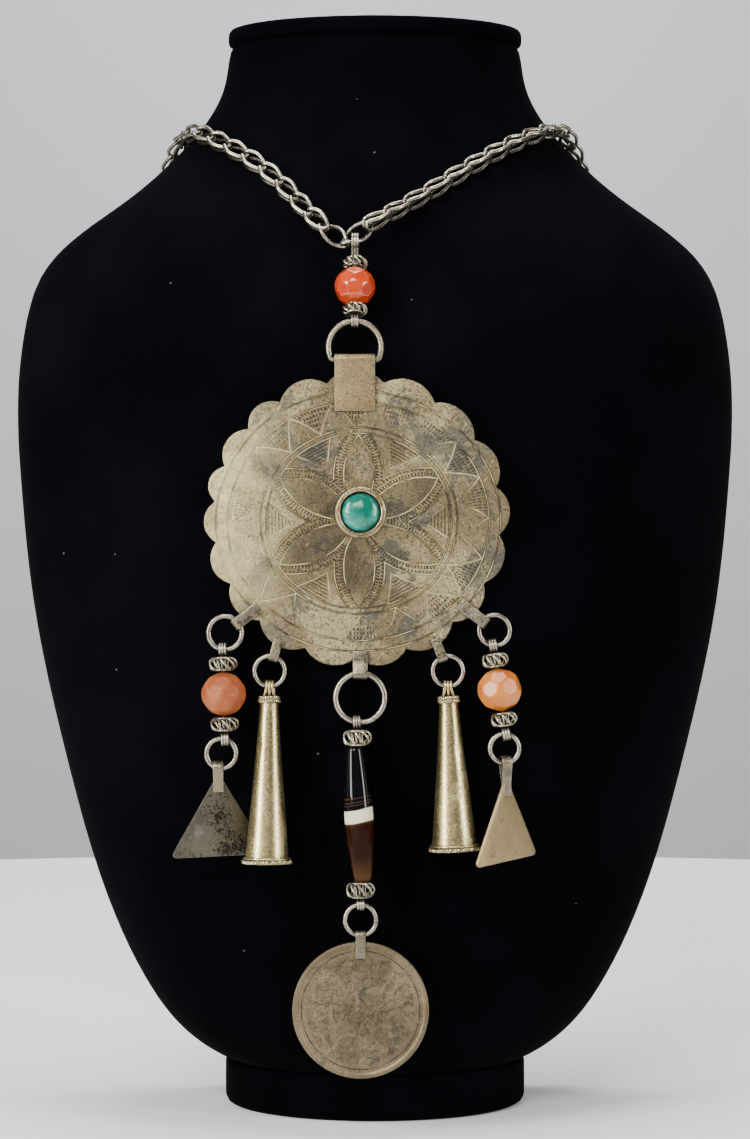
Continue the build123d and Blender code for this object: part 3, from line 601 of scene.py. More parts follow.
agedSilver = metalMaterial("agedSilver", silverLook)
engravedSilver = metalMaterial("engravedSilver", discLook, engraving)
spacerSilver = metalMaterial("spacerSilver", spacerLook)
bezelSilver = metalMaterial("bezelSilver", bezelLook)
bailSilver = metalMaterial("bailSilver", bailLook)
strapSilver = metalMaterial("strapSilver", strapLook)
chainSilver = metalMaterial("chainSilver", chainLook, paintedShadeOnFarHalf)
coneSilver = metalMaterial("coneSilver", coneLook)
coinSilver = metalMaterial("coinSilver", coinLook, coinRelief)
darkPlate = metalMaterial("darkPlate", darkPlateLook, blackSpeckle)
palePlate = metalMaterial("palePlate", palePlateLook)


velvetValues = {
    "color": (0.0009, 0.001, 0.0016), "nap": (0.0018, 0.002, 0.0030), "napScale": 22.0,
    "lint": (0.20, 0.20, 0.22), "lintScale": 190.0, "lintSize": 0.045, "lintRare": 0.93, "lintShare": 0.5,
    "sheen": 0.008, "pileScale": 2600.0, "pileDepth": 0.25,
}


def velvetMaterial():
    look = velvetValues
    material, tree, shader, place = startMaterial("blackVelvet")
    nap = noise(tree, place, look["napScale"], 4.0)[0]
    tint = blend(tree, spread(tree, nap, 0.4, 0.75), look["color"], look["nap"])
    lint = addNode(tree, "ShaderNodeTexVoronoi", {"Vector": place, "Scale": look["lintScale"]}).outputs
    chance = addNode(tree, "ShaderNodeSeparateColor", {0: lint["Color"]}).outputs[0]
    chosen = calc(tree, "GREATER_THAN", chance, look["lintRare"])
    grain = times(tree, calc(tree, "LESS_THAN", lint["Distance"], look["lintSize"]), chosen)
    tint = blend(tree, times(tree, grain, look["lintShare"]), tint, look["lint"])
    feed(tree, shader, {
        "Base Color": tint, "Roughness": 0.95, "Specular IOR Level": 0.01,
        "Sheen Weight": look["sheen"], "Sheen Roughness": 0.35})
    bump(tree, shader, noise(tree, place, look["pileScale"])[0], look["pileDepth"] * mm, 0.6)
    return material


def stoneMaterial(name, look):
    # polished stone: cloudy colour, a clear coat and light that goes a little way in
    material, tree, shader, place = startMaterial(name)
    cloud = noise(tree, place, look["cloudScale"], 6.0, 0.6, 0.8)[0]
    tint = blend(tree, spread(tree, cloud, 0.35, 0.65), look["color"], look["cloud"])
    fine = noise(tree, place, look["cloudScale"] * 9, 4.0)[0]
    tint = blend(tree, spread(tree, fine, 0.58, 0.75, 0.0, look["veinShare"]), tint, look["vein"])
    feed(tree, shader, {
        "Base Color": tint,
        "Roughness": spread(tree, fine, 0.4, 0.7, look["roughness"], look["roughness"] + 0.1),
        "Specular IOR Level": look["gloss"], "Subsurface Weight": look["depth"],
        "Subsurface Radius": (1.0, 0.35, 0.2), "Subsurface Scale": 2.5 * mm,
        "Coat Weight": look["coat"], "Coat Roughness": 0.06})
    bump(tree, shader, fine, look["grit"] * mm)
    return material


carnelian = stoneMaterial("carnelianStone", {
    "color": (0.30, 0.018, 0.003), "cloud": (0.42, 0.045, 0.008), "vein": (0.55, 0.13, 0.04),
    "veinShare": 0.3, "cloudScale": 120.0, "roughness": 0.16, "depth": 0.25, "coat": 0.7, "grit": 0.01,
    "gloss": 0.5})
pinkStone = stoneMaterial("pinkStone", {
    "color": (0.22, 0.045, 0.010), "cloud": (0.28, 0.078, 0.022), "vein": (0.40, 0.16, 0.065),
    "veinShare": 0.7, "cloudScale": 150.0, "roughness": 0.46, "depth": 0.2, "coat": 0.0, "grit": 0.08,
    "gloss": 0.3})
peachStone = stoneMaterial("peachStone", {
    "color": (0.40, 0.095, 0.010), "cloud": (0.47, 0.175, 0.035), "vein": (0.56, 0.28, 0.085),
    "veinShare": 0.5, "cloudScale": 110.0, "roughness": 0.16, "depth": 0.3, "coat": 0.05, "grit": 0.008,
    "gloss": 0.3})
tealStone = stoneMaterial("tealStone", {
    "color": (0.003, 0.105, 0.07), "cloud": (0.035, 0.26, 0.21), "vein": (0.05, 0.06, 0.02),
    "veinShare": 0.4, "cloudScale": 190.0, "roughness": 0.12, "depth": 0.2, "coat": 0.25, "grit": 0.03,
    "gloss": 0.3})

# The bands are shares of the bead's length from its top.
bandValues = {
    "black": (0.0022, 0.0022, 0.0028), "brown": (0.012, 0.0025, 0.0008), "light": (0.05, 0.022, 0.007),
    "white": (0.55, 0.52, 0.40), "line": (0.05, 0.028, 0.018), "edge": (0.03, 0.016, 0.006),
    "bandTop": 0.462, "bandBottom": 0.558, "edgeReach": 0.035, "soft": 0.006,
    "lines": (0.375, 0.405, 0.425), "tilt": -0.18, "warp": 0.6, "coat": 0.35,
}


def agateMaterial():
    # black above, a white band, then brown-red, with fine lines beside the band
    look = bandValues
    low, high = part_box("agate_bead")
    material, tree, shader, place = startMaterial("bandedAgate")
    warp = noise(tree, place, 160.0, 3.0)[0]
    streaks = addNode(tree, "ShaderNodeMapping", {"Vector": place, "Scale": (1.0, 1.0, 0.12)}).outputs[0]
    grain = noise(tree, streaks, 700.0, 3.0)[0]
    axes = addNode(tree, "ShaderNodeSeparateXYZ", {0: place}).outputs
    aside = less(tree, axes[0], boxMiddle("agate_bead").x)
    height = plus(tree, axes[2], times(tree, aside, look["tilt"]))
    height = plus(tree, height, times(tree, warp, look["warp"] * mm))
    share = calc(tree, "DIVIDE", less(tree, high.z + look["warp"] / 2 * mm, height), high.z - low.z)
    bandTop, bandBottom, soft = look["bandTop"], look["bandBottom"], look["soft"]
    tint = blend(tree, spread(tree, share, 0.78, 1.02), look["brown"], look["light"])
    tint = blend(tree, spread(tree, grain, 0.5, 0.75, 0.0, 0.3), tint, look["light"])
    tint = blend(tree, spread(tree, share, bandBottom + look["edgeReach"], bandBottom, 0.0, 0.8), tint,
                 look["edge"])
    tint = blend(tree, spread(tree, share, bandTop + 0.004, bandTop - 0.004), tint, look["black"])
    white = times(tree, spread(tree, share, bandTop - soft, bandTop + soft),
                  spread(tree, share, bandBottom + soft, bandBottom - soft))
    tint = blend(tree, white, tint, look["white"])
    for middle in look["lines"]:
        away = calc(tree, "ABSOLUTE", less(tree, share, middle))
        tint = blend(tree, spread(tree, away, 0.006, 0.002, 0.0, 0.6), tint, look["line"])
    feed(tree, shader, {
        "Base Color": tint, "Coat Weight": spread(tree, share, bandTop - 0.01, bandTop, look["coat"], 0.0),
        "Roughness": 0.12, "Specular IOR Level": 0.07})
    bump(tree, shader, warp, 0.01 * mm)
    return material


velvet = velvetMaterial()
bandedAgate = agateMaterial()
print("materials made")


# Camera, lights and stage
cameraValues = {"away": 0.798, "height": 0.1488, "lens": 129.6, "sensor": 36.0, "shiftUp": 0.0407}
bpy.ops.object.camera_add(location=(0, -cameraValues["away"], cameraValues["height"]),
                          rotation=(radians(90), 0, 0))
camera = bpy.context.object
camera.data.lens = cameraValues["lens"]
camera.data.sensor_fit = "HORIZONTAL"
camera.data.sensor_width = cameraValues["sensor"]
camera.data.shift_y = cameraValues["shiftUp"]
camera.data.clip_start = 0.01
bpy.context.scene.camera = camera


def areaLight(name, place, size, power, color, target=Vector((0, 0, 0.17))):
    # a soft lamp of the given width and height that looks at the necklace, or at the given target
    bpy.ops.object.light_add(type="AREA", location=place)
    lamp = bpy.context.object
    lamp.name = name
    lamp.data.shape = "RECTANGLE"
    lamp.data.size, lamp.data.size_y = size
    lamp.data.energy = power
    lamp.data.color = color
    aim = target - Vector(place)
    lamp.rotation_mode = "QUATERNION"
    lamp.rotation_quaternion = aim.to_track_quat("-Z", "Y")


areaLight("leftLamp", (-0.72, -0.55, 0.42), (0.26, 0.70), 15.0, (1.0, 0.98, 0.94))
areaLight("rightLamp", (0.78, -0.46, 0.40), (0.20, 0.60), 8.0, (1.0, 0.99, 0.96))
areaLight("frontLamp", (-0.28, -1.15, 0.85), (0.55, 0.45), 14.0, (1.0, 0.98, 0.95))
areaLight("topLamp", (0.0, 0.05, 1.1), (0.6, 0.6), 14.0, (1.0, 1.0, 1.0))
areaLight("backdropLamp", (0.0, 0.9, 1.3), (0.8, 0.8), 30.0, (1.0, 1.0, 1.0), Vector((0, 2.2, 0.4)))

world = bpy.data.worlds.new("softRoom")
bpy.context.scene.world = world
world.use_nodes = True
world.node_tree.nodes["Background"].inputs[0].default_value = (0.80, 0.82, 0.86, 1)
world.node_tree.nodes["Background"].inputs[1].default_value = 0.13


def paleMaterial(name, color):
    material, tree, shader, place = startMaterial(name)
    tint = blend(tree, noise(tree, place, 3.0)[0], color, tuple(share * 0.95 for share in color))
    feed(tree, shader, {"Base Color": tint, "Roughness": 0.8})
    return material


tableValues = {"radius": 0.78, "thickness": 0.02}
bpy.ops.mesh.primitive_cylinder_add(vertices=160, radius=tableValues["radius"],
                                    depth=tableValues["thickness"],
                                    location=(0, 0, -tableValues["thickness"] / 2))
table = bpy.context.object
table.name = "paleTable"
dress(table, paleMaterial("paleTable", (0.80, 0.80, 0.80)))
bpy.ops.mesh.primitive_plane_add(size=8, location=(0, 2.2, 1.0), rotation=(radians(90), 0, 0))
backdrop = bpy.context.object
backdrop.name = "paleBackdrop"
dress(backdrop, paleMaterial("paleBackdrop", (0.60, 0.61, 0.64)))
print("camera, lights and stage ready")


# Velvet bust
bustValues = {
    "voxels": {"bust_form": 2.2, "bust_lid": 0.9, "bust_foot": 1.3},
    "names": {"bust_form": "bustForm", "bust_lid": "bustLid", "bust_foot": "bustFoot"},
    "relaxTimes": 2, "relaxShare": 0.5,
}


def velvetPiece(node):
    # a soft copy of a CAD solid: remeshed evenly, then relaxed so that its edges turn softly
    piece = copyOf(nodes[node], bustValues["names"][node])
    piece.parent = None
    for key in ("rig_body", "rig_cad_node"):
        if key in piece:
            del piece[key]
    toEdit(piece)
    selectMesh()
    bpy.ops.mesh.remove_doubles(threshold=weld / 2)
    toObject()
    remesh = piece.modifiers.new("even", "REMESH")
    remesh.mode = "VOXEL"
    remesh.voxel_size = bustValues["voxels"][node] * mm
    relax = piece.modifiers.new("relax", "SMOOTH")
    relax.iterations = bustValues["relaxTimes"]
    relax.factor = bustValues["relaxShare"]
    applyAll(piece)
    finishPiece(piece, node, velvet, 60)


for node in bustValues["names"]:
    velvetPiece(node)
print("bust dressed")


# Chain: each link is a ring of wire folded in two, and the first on each side a plain twisted ring.
# Sizes in mm, turns in degrees. The last few links before the hook lie flat on the bust.
chainValues = {
    "links": 56, "leftLinks": 27, "wire": 0.58, "fold": -4.3, "foldBulge": 0.55, "foldShare": 0.18,
    "tip": 4.25, "tipDepth": 0.56, "tipEase": 1.4, "width": 2.55, "fullness": 0.85, "pinch": 0.25,
    "pinchReach": 0.5, "depth": 1.5, "farShare": 0.88, "shadeFade": 0.6,
    "shares": (0.0, 0.045, 0.09, 0.135, 0.19, 0.27, 0.36, 0.46, 0.56, 0.66, 0.76, 0.85, 0.92, 0.97, 0.995),
    "frontRing": {"reach": 5.246, "half": 2.35, "fullness": 0.829, "twist": 70.2, "corners": 30,
                  "wire": 0.56},
    "leftRoll": 9.0, "rightRoll": 44.0, "rollLinks": 11, "fadeLinks": 5,
    "lift": 1.1, "leastLift": 0.2, "backFlat": 0.77, "sideReach": 0.7, "neckMiddle": 6.0,
}


def frontRing():
    # the plain twisted ring in front that the bead hangs from, its length along x
    size = chainValues["frontRing"]
    corners = []
    for step in range(size["corners"]):
        turn = 2 * pi * step / size["corners"]
        share, side = -sin(turn), cos(turn)
        across = size["half"] * abs(side) ** size["fullness"] * (1 if side > 0 else -1)
        twist = radians(size["twist"]) * share
        corners.append((size["reach"] * share, across * cos(twist), across * sin(twist)))
    return roundWire(outlineOf("frontRing", corners), size["wire"], caps=False)


def foldedLink():
    # an oval wire ring folded in two: a pinched bend at one end, two round loops over each other
    size = chainValues
    quarter = [(share, sqrt(1 - share ** 2)) for share in size["shares"]]
    oval = [(along, side) for along, side in quarter]
    oval += [(along, -side) for along, side in reversed(quarter)]
    oval += [(-along, -side) for along, side in quarter[1:]]
    oval += [(-along, side) for along, side in reversed(quarter[1:])]
    corners = []
    for along, side in oval:
        share = abs(along)
        bend = min(share / size["foldShare"], 1.0)
        beyond = max(share - size["foldShare"], 0.0) / (1 - size["foldShare"])
        ease = min(share / size["pinchReach"], 1.0)
        pinch = size["pinch"] + (1 - size["pinch"]) * ease * ease * (3 - 2 * ease)
        x = size["fold"] + size["foldBulge"] * size["depth"] * (1 - cos(bend * pi / 2))
        x += (size["tip"] - x) * beyond
        y = size["width"] * abs(side) ** size["fullness"] * pinch * (1 if side > 0 else -1)
        z = size["depth"] * sin(bend * pi / 2)
        z -= (size["depth"] - size["tipDepth"]) * beyond ** size["tipEase"]
        corners.append((x, y, z) if along >= 0 else (x, y * size["farShare"], -z))
    link = roundWire(outlineOf("foldedLink", corners), size["wire"], caps=False)
    # painted shade on the far half of the link, fading in across its middle
    far = link.data.attributes.new("shadedFarHalf", "FLOAT", "POINT")
    for spot, mark in zip(link.data.vertices, far.data):
        mark.value = min(max(0.5 - spot.co.z / (size["shadeFade"] * mm), 0.0), 1.0)
    return link


def linkFrames():
    # middle, length, width and outward way of each link of the CAD chain
    mesh = nodes["chain"].data
    spots = np.zeros(len(mesh.vertices) * 3)
    mesh.vertices.foreach_get("co", spots)
    perLink = spots.reshape(chainValues["links"], -1, 3)
    middles = perLink.mean(1)
    frames = []
    for index, (cloud, middle) in enumerate(zip(perLink, middles)):
        last = index in (chainValues["leftLinks"] - 1, chainValues["links"] - 1)
        ahead = middle - middles[index - 1] if last else middles[index + 1] - middle
        away = cloud - middle
        length = np.linalg.svd(away, full_matrices=False)[2][0]
        length = length if length @ ahead > 0 else -length
        along = away @ length
        sides = away[np.abs(along) < chainValues["sideReach"] * mm]
        flat = sides - np.outer(sides @ length, length)
        width = np.linalg.svd(flat, full_matrices=False)[2][0]
        out = np.cross(length, width)
        outwards = np.array([middle[0], middle[1] - chainValues["neckMiddle"] * mm, 0.0])
        out = out if out @ outwards > 0 else -out
        width = np.cross(out, length)
        turn = Matrix((length, width, out)).transposed().to_4x4()
        turn.translation = Vector(middle)
        frames.append(turn)
    return frames


def buildChain():
    # every link lies as in the CAD; beside the middle the links lie a little on their side
    size = chainValues
    first, folded = frontRing(), foldedLink()
    rings = []
    for index, place in enumerate(linkFrames()):
        left = index < size["leftLinks"]
        step = index if left else index - size["leftLinks"]
        copy = copyOf(folded if step else first, f"chainLink{index}")
        if step:
            share = 1 - min(max((step - size["rollLinks"]) / size["fadeLinks"], 0.0), 1.0)
            roll = (size["leftRoll"] if left else size["rightRoll"]) * share
            rise = size["lift"] * (size["leastLift"] + sin(radians(roll))) * share
            lift = Matrix.Translation(Vector((0, 0, rise)) * mm)
            turn = Matrix.Rotation(radians(roll if left else -roll), 4, "X")
            flat = Matrix.Diagonal((1, 1, size["backFlat"] + (1 - size["backFlat"]) * share, 1))
            place = place @ lift @ turn @ flat
            if left:
                place = place @ Matrix.Rotation(pi, 4, "Z")
        settle(copy, place)
        rings.append(copy)
    for model in (first, folded):
        bpy.data.objects.remove(model)
    finishPiece(joinPieces(rings, "chainLinks"), "chain", chainSilver, 60)


buildChain()
print("chain linked")


# Medallion: a hand cut plate with scallops, a bezel for the stone and folded straps for the rings.
# Worked in mm in a frame that faces the viewer: x right, y up, z towards the viewer. The notches between
# the scallops are in degrees. A row of the bezel holds its radius and its height over the plate. The back
# of a strap holds how far it reaches below its fold and how far behind it, as a share of its bore.
medallionValues = {
    "middle": (-5.0, -50.0, 171.3), "halfWidth": 42.5, "halfHeight": 41.2, "thickness": 1.5,
    "faceDepth": 0.12, "edgeRound": 0.28, "dome": 1.1, "domeStart": 0.25, "domeEnd": 0.72,
    "unevenness": 0.35, "unevenSize": 12.0,
    "scallopRise": 2.8, "scallopPower": 2.2, "pointsPerScallop": 12, "faceRings": 22, "faceStep": 0.04,
    "notches": (-6.6, 13.3, 34.7, 57.1, 79.0, 102.3, 122.5, 139.5, 157.6,
                172.8, 189.8, 207.9, 227.2, 248.7, 270.0, 290.2, 311.8, 332.4),
    "stone": (1.0, 1.8), "seat": -0.1,
    "bezel": ((7.0, -0.2), (7.0, 0.35), (6.75, 0.62), (6.55, 0.7), (6.5, 1.7), (6.3, 1.92),
              (6.0, 1.94), (5.75, 1.75), (5.66, 1.2), (5.66, -0.1)),
}
strapValues = {"sheet": 0.5, "play": 0.2, "cut": 0.96, "edge": 0.10, "steps": 12, "back": (0.6, 0.75)}
ringValues = {
    "left": {"right": -36.5, "up": -31.6, "radius": 4.6, "wire": 0.70,
             "strap": 3.2, "tail": 4.0, "lean": -52.0},
    "leftCone": {"right": -24.2, "up": -42.2, "radius": 4.2, "wire": 0.62,
                 "strap": 2.6, "tail": 1.4, "lean": -16.0},
    "centre": {"right": 0.9, "up": -49.6, "radius": 6.8, "wire": 0.80,
               "strap": 4.0, "tail": 4.0, "lean": 0.0},
    "rightCone": {"right": 25.2, "up": -42.2, "radius": 4.2, "wire": 0.62,
                  "strap": 2.6, "tail": 1.4, "lean": 22.0},
    "right": {"right": 38.1, "up": -30.9, "radius": 4.25, "wire": 0.67,
              "strap": 3.2, "tail": 4.0, "lean": 52.0},
}
topBail = {
    "right": -0.6, "up": 44.2, "wire": 0.875, "width": 11.2, "drop": 3.0, "tail": 11.3, "back": (1.2, 0.8),
}

faceViewer = Matrix(((1, 0, 0, 0), (0, 0, -1, 0), (0, 1, 0, 0), (0, 0, 0, 1)))
frontView = Matrix.Translation(Vector(medallionValues["middle"]) * mm) @ faceViewer


def lathe(name, rows, sides, closed=False):
    # rows of (radius, height) in mm, turned round y, the first row at the start of the wall
    bpy.ops.mesh.primitive_circle_add(vertices=sides, radius=mm, location=(0, 0, 0))
    piece = bpy.context.object
    piece.name = name
    toEdit(piece)
    selectMesh()
    for index, (radius, height) in enumerate(rows):
        if index:
            bpy.ops.mesh.extrude_region()
        mesh = bmesh.from_edit_mesh(piece.data)
        for spot in mesh.verts:
            if spot.select:
                way = Vector((spot.co.x, 0, spot.co.z if index else spot.co.y)).normalized()
                spot.co = way * max(radius, 0.001) * mm + Vector((0, height * mm, 0))
        bmesh.update_edit_mesh(piece.data)
    if closed:
        selectMesh()
        bpy.ops.mesh.remove_doubles(threshold=weld)
    sameNormals()
    toObject()
    return piece


def wirePiece(name, spots, radius, closed=True, fineness=2):
    # a wire of the given radius along points in mm
    piece = outlineOf(name, spots)
    if not closed:
        mesh = bmesh.from_edit_mesh(piece.data)
        mesh.verts.ensure_lookup_table()
        first, last = mesh.verts[0], mesh.verts[len(spots) - 1]
        mesh.edges.remove(mesh.edges.get((first, last)))
        bmesh.update_edit_mesh(piece.data)
    return roundWire(piece, radius, fineness)


def circleAt(radius, height, steps):
    # points in mm of a level circle round y
    turns = [2 * pi * step / steps for step in range(steps)]
    return [(radius * cos(turn), height, radius * sin(turn)) for turn in turns]


def ropeRing(name, radius, height, thick, twists):
    # two wires twisted round each other and laid in a ring round y
    strands = []
    count = twists * 8
    for strand in (0, 1):
        spots = []
        for step in range(count):
            turn = 2 * pi * step / count
            twist = twists * turn + pi * strand
            reach = radius + thick / 2 * cos(twist)
            spots.append((reach * cos(turn), height + thick / 2 * sin(twist), reach * sin(turn)))
        strands.append(wirePiece(f"{name}Strand{strand}", spots, thick / 2 * 1.15, True, 1))
    return strands


def foldedStrap(name, width, profile, place, material):
    # a strip of sheet metal that follows a profile of (y, z) in mm, its width along x
    rows = len(profile)
    bpy.ops.mesh.primitive_grid_add(x_subdivisions=3, y_subdivisions=rows - 1, size=1.0, location=(0, 0, 0))
    strap = bpy.context.object
    strap.name = name
    toEdit(strap)
    mesh = bmesh.from_edit_mesh(strap.data)
    for spot in mesh.verts:
        row = round((spot.co.y + 0.5) * (rows - 1))
        y, z = profile[row]
        spot.co = (spot.co.x * width * mm, y * mm, z * mm)
    bmesh.update_edit_mesh(strap.data)
    sameNormals()
    toObject()
    thicken(strap, strapValues["sheet"] * strapValues["cut"], 0.0)
    softenEdges(strap, strapValues["edge"], 2)
    applyAll(strap)
    settle(strap, place)
    dress(strap, material)
    return strap


def strapProfile(bore, drop, tail, faceZ, backY, backZ):
    # leaf on the face, round the ring's wire, then back to the plate: y towards the plate
    sheet, steps = strapValues["sheet"], strapValues["steps"]
    around = bore + sheet / 2
    high = faceZ + sheet / 2
    profile = [(drop + tail, high), (drop + tail * 0.5, high), (drop + 0.2, high)]
    for step in range(steps + 1):
        angle = pi / 2 + pi * step / steps
        profile.append((around * cos(angle), around * sin(angle)))
    profile.append((backY, backZ))
    return profile


def boreOf(wire, radius, width):
    # how far a strap or loop of this width has to stand off the middle of a ring's bent wire
    half = width / 2
    sag = radius - sqrt(radius ** 2 - half ** 2) if radius else 0.0
    return wire + sag + strapValues["play"]


def scallopedPlate():
    size = medallionValues
    outline = []
    notches = list(size["notches"])
    for start, end in zip(notches, notches[1:] + [notches[0] + 360]):
        for step in range(size["pointsPerScallop"]):
            share = step / size["pointsPerScallop"]
            inset = size["scallopRise"] * abs(2 * share - 1) ** size["scallopPower"] + 0.02
            angle = radians(start + (end - start) * share)
            across, up = size["halfWidth"] - inset, size["halfHeight"] - inset
            outline.append((across * cos(angle), up * sin(angle), -size["faceDepth"]))
    plate = outlineOf("medallionPlate", outline)
    selectMesh()
    reach = 1.0
    for share in [0.985] + [1 - size["faceStep"] * (step + 1) for step in range(size["faceRings"])]:
        bpy.ops.mesh.extrude_region()
        bpy.ops.transform.resize(value=(share / reach, share / reach, 1), center_override=(0, 0, 0))
        reach = share
    bpy.ops.mesh.edge_face_add()
    sameNormals()
    toObject()
    if plate.data.polygons[0].normal.z < 0:
        toEdit(plate)
        selectMesh()
        bpy.ops.mesh.flip_normals()
        toObject()
    hammered = bpy.data.textures.new("hammered", "CLOUDS")
    hammered.noise_scale = size["unevenSize"] * mm
    swell = plate.modifiers.new("unevenness", "DISPLACE")
    swell.texture = hammered
    swell.texture_coords = "LOCAL"
    swell.direction = "Z"
    swell.strength = size["unevenness"] * mm
    swell.mid_level = 0.6
    thicken(plate, size["thickness"], -1.0)
    softenEdges(plate, size["edgeRound"], 3)
    applyAll(plate)
    for spot in plate.data.vertices:
        share = min((spot.co.x ** 2 + spot.co.y ** 2) / (size["halfWidth"] * mm) ** 2, size["domeEnd"])
        spot.co.z -= size["dome"] * mm * max(share - size["domeStart"], 0.0) ** 2
    settle(plate, frontView)
    dress(plate, engravedSilver)
    return plate


def buildMedallion():
    size, sheet = medallionValues, strapValues["sheet"]
    down, behind = strapValues["back"]
    pieces = [scallopedPlate()]
    stoneX, stoneY = size["stone"]
    bezel = lathe("bezel", size["bezel"], 64)
    settle(bezel, frontView @ Matrix.Translation(Vector((stoneX, stoneY, size["seat"])) * mm)
           @ Matrix.Rotation(radians(90), 4, "X"))
    dress(bezel, bezelSilver)
    pieces.append(bezel)
    for name, ring in ringValues.items():
        bore = boreOf(ring["wire"], ring["radius"], ring["strap"])
        lean, radius = radians(ring["lean"]), ring["radius"]
        middle = Vector((ring["right"] - radius * sin(lean), ring["up"] + radius * cos(lean), 0))
        drop = bore + sheet + max(middle.length - size["halfWidth"], 0.0)
        profile = strapProfile(bore, drop, ring["tail"], size["seat"], drop + down, -bore * behind)
        place = frontView @ Matrix.Translation(middle * mm) @ Matrix.Rotation(lean, 4, "Z")
        pieces.append(foldedStrap(f"{name}Strap", ring["strap"], profile, place, strapSilver))
    bore = boreOf(topBail["wire"], 0, topBail["width"])
    drop = topBail["drop"]
    down, behind = topBail["back"]
    profile = strapProfile(bore, drop, topBail["tail"], size["seat"], drop + down, -bore * behind)
    place = frontView @ Matrix.Translation(Vector((topBail["right"], topBail["up"], 0)) * mm)
    place = place @ Matrix.Rotation(pi, 4, "Z")
    pieces.append(foldedStrap("topStrap", topBail["width"], profile, place, bailSilver))
    finishPiece(joinPieces(pieces, "medallionPlate"), "medallion", None, 40)


buildMedallion()
print("medallion made")


# Beads: a ball pressed flat behind each hand cut facet. A row of facets holds its rise in degrees, its
# number of facets and its turn as a share of one facet. cut is the depth of the facets as a share of the
# radius, and edge, in mm, how soft their ridges are.
beadValues = {
    "segments": 128, "rings": 84, "slip": 3, "cutRange": (0.8, 1.1),
    "top": {"rows": ((8, 8, 0.5), (40, 8, 0.0), (-30, 8, 0.0), (66, 6, 0.0), (-62, 6, 0.5)),
            "cut": 0.062, "edge": 0.022, "seed": 4},
    "left": {"rows": ((4, 8, 0.5), (38, 8, 0.0), (-34, 8, 0.0), (66, 6, 0.0), (-64, 6, 0.5)),
             "cut": 0.04, "edge": 0.14, "seed": 9},
    "right": {"rows": ((9, 7, 0.25), (44, 7, 0.75), (-32, 7, 0.75), (70, 5, 0.0), (-64, 5, 0.5)),
              "cut": 0.075, "edge": 0.018, "seed": 21},
}


def pressFlats(piece, flats, radius, edge):
    # every point stays on its own line from the middle, pressed back behind each flat
    spots = np.zeros(len(piece.data.vertices) * 3)
    piece.data.vertices.foreach_get("co", spots)
    spots = spots.reshape(-1, 3)
    ways = spots / np.linalg.norm(spots, axis=1)[:, None]
    total = np.exp(-np.full(len(ways), radius) / edge)
    for normal, reach in flats:
        lean = np.maximum(ways @ np.array(normal), 0.05)
        total += np.exp(-(reach / lean) / edge)
    pressed = -edge * np.log(total)
    piece.data.vertices.foreach_set("co", (ways * pressed[:, None]).ravel())
    piece.data.update()


def facetedBead(name, node, side, place, material):
    look, slip = beadValues[side], beadValues["slip"]
    low, high = localBox(node, place)
    radius = (high.x - low.x) / 2
    half = (high.y - low.y) / 2
    chance = random.Random(look["seed"])
    bpy.ops.mesh.primitive_uv_sphere_add(segments=beadValues["segments"], ring_count=beadValues["rings"],
                                         radius=radius, location=(0, 0, 0), rotation=(radians(90), 0, 0))
    bead = bpy.context.object
    bead.name = name
    bpy.ops.object.transform_apply(location=True, rotation=True, scale=True)
    flats = [((0, 1, 0), half), ((0, -1, 0), half)]
    for up, count, offset in look["rows"]:
        for step in range(count):
            turn = 2 * pi * (step + offset) / count + radians(chance.uniform(-slip, slip))
            rise = radians(up + chance.uniform(-slip, slip))
            normal = (cos(rise) * cos(turn), sin(rise), cos(rise) * sin(turn))
            flats.append((normal, radius * (1 - look["cut"] * chance.uniform(*beadValues["cutRange"]))))
    pressFlats(bead, flats, radius, look["edge"] * mm)
    settle(bead, place)
    finishPiece(bead, node, material, 60)


# Spacers: a coil of wire bent into a ring round a collar, between two rims.
spacerValues = {
    "loops": 9, "wire": 0.31, "stepsPerLoop": 20, "slant": 0.24, "loopTall": 0.93, "loopDeep": 0.8,
    "mostDeep": 0.30, "rimShare": 0.60, "rimWire": 0.30, "rimSteps": 40, "bore": 0.66,
    "waistIn": 1.5, "leastWaist": 0.6, "flare": 0.35,
}


def coilSpacer(name, node, place):
    size = spacerValues
    low, high = localBox(node, place)
    radius = (high.x - low.x) / 2 / mm
    half = (high.y - low.y) / 2 / mm
    tall = half - size["wire"]
    deep = min(tall * size["loopDeep"], radius * size["mostDeep"])
    middle = radius - size["wire"] - deep
    count = size["loops"] * size["stepsPerLoop"]
    spots = []
    for step in range(count):
        turn = 2 * pi * step / count
        loop = size["loops"] * turn
        reach = middle + deep * cos(loop)
        turn += size["slant"] * sin(loop)
        spots.append((reach * cos(turn), tall * size["loopTall"] * sin(loop), reach * sin(turn)))
    pieces = [wirePiece(name, spots, size["wire"])]
    rim = size["rimShare"] * radius
    for side in (1, -1):
        ring = circleAt(rim, side * (half - size["rimWire"]), size["rimSteps"])
        pieces.append(wirePiece(f"{name}Rim", ring, size["rimWire"]))
    bore, end = size["bore"], half - 0.1
    waist = max(rim - size["waistIn"], size["leastWaist"])
    wide = waist + size["flare"]
    pieces.append(lathe(f"{name}Collar", [(bore, -end), (wide, -end), (waist, -half / 2),
                                          (waist, half / 2), (wide, end), (bore, end)], 28))
    spacer = joinPieces(pieces, name)
    settle(spacer, place)
    finishPiece(spacer, node, spacerSilver, 60)


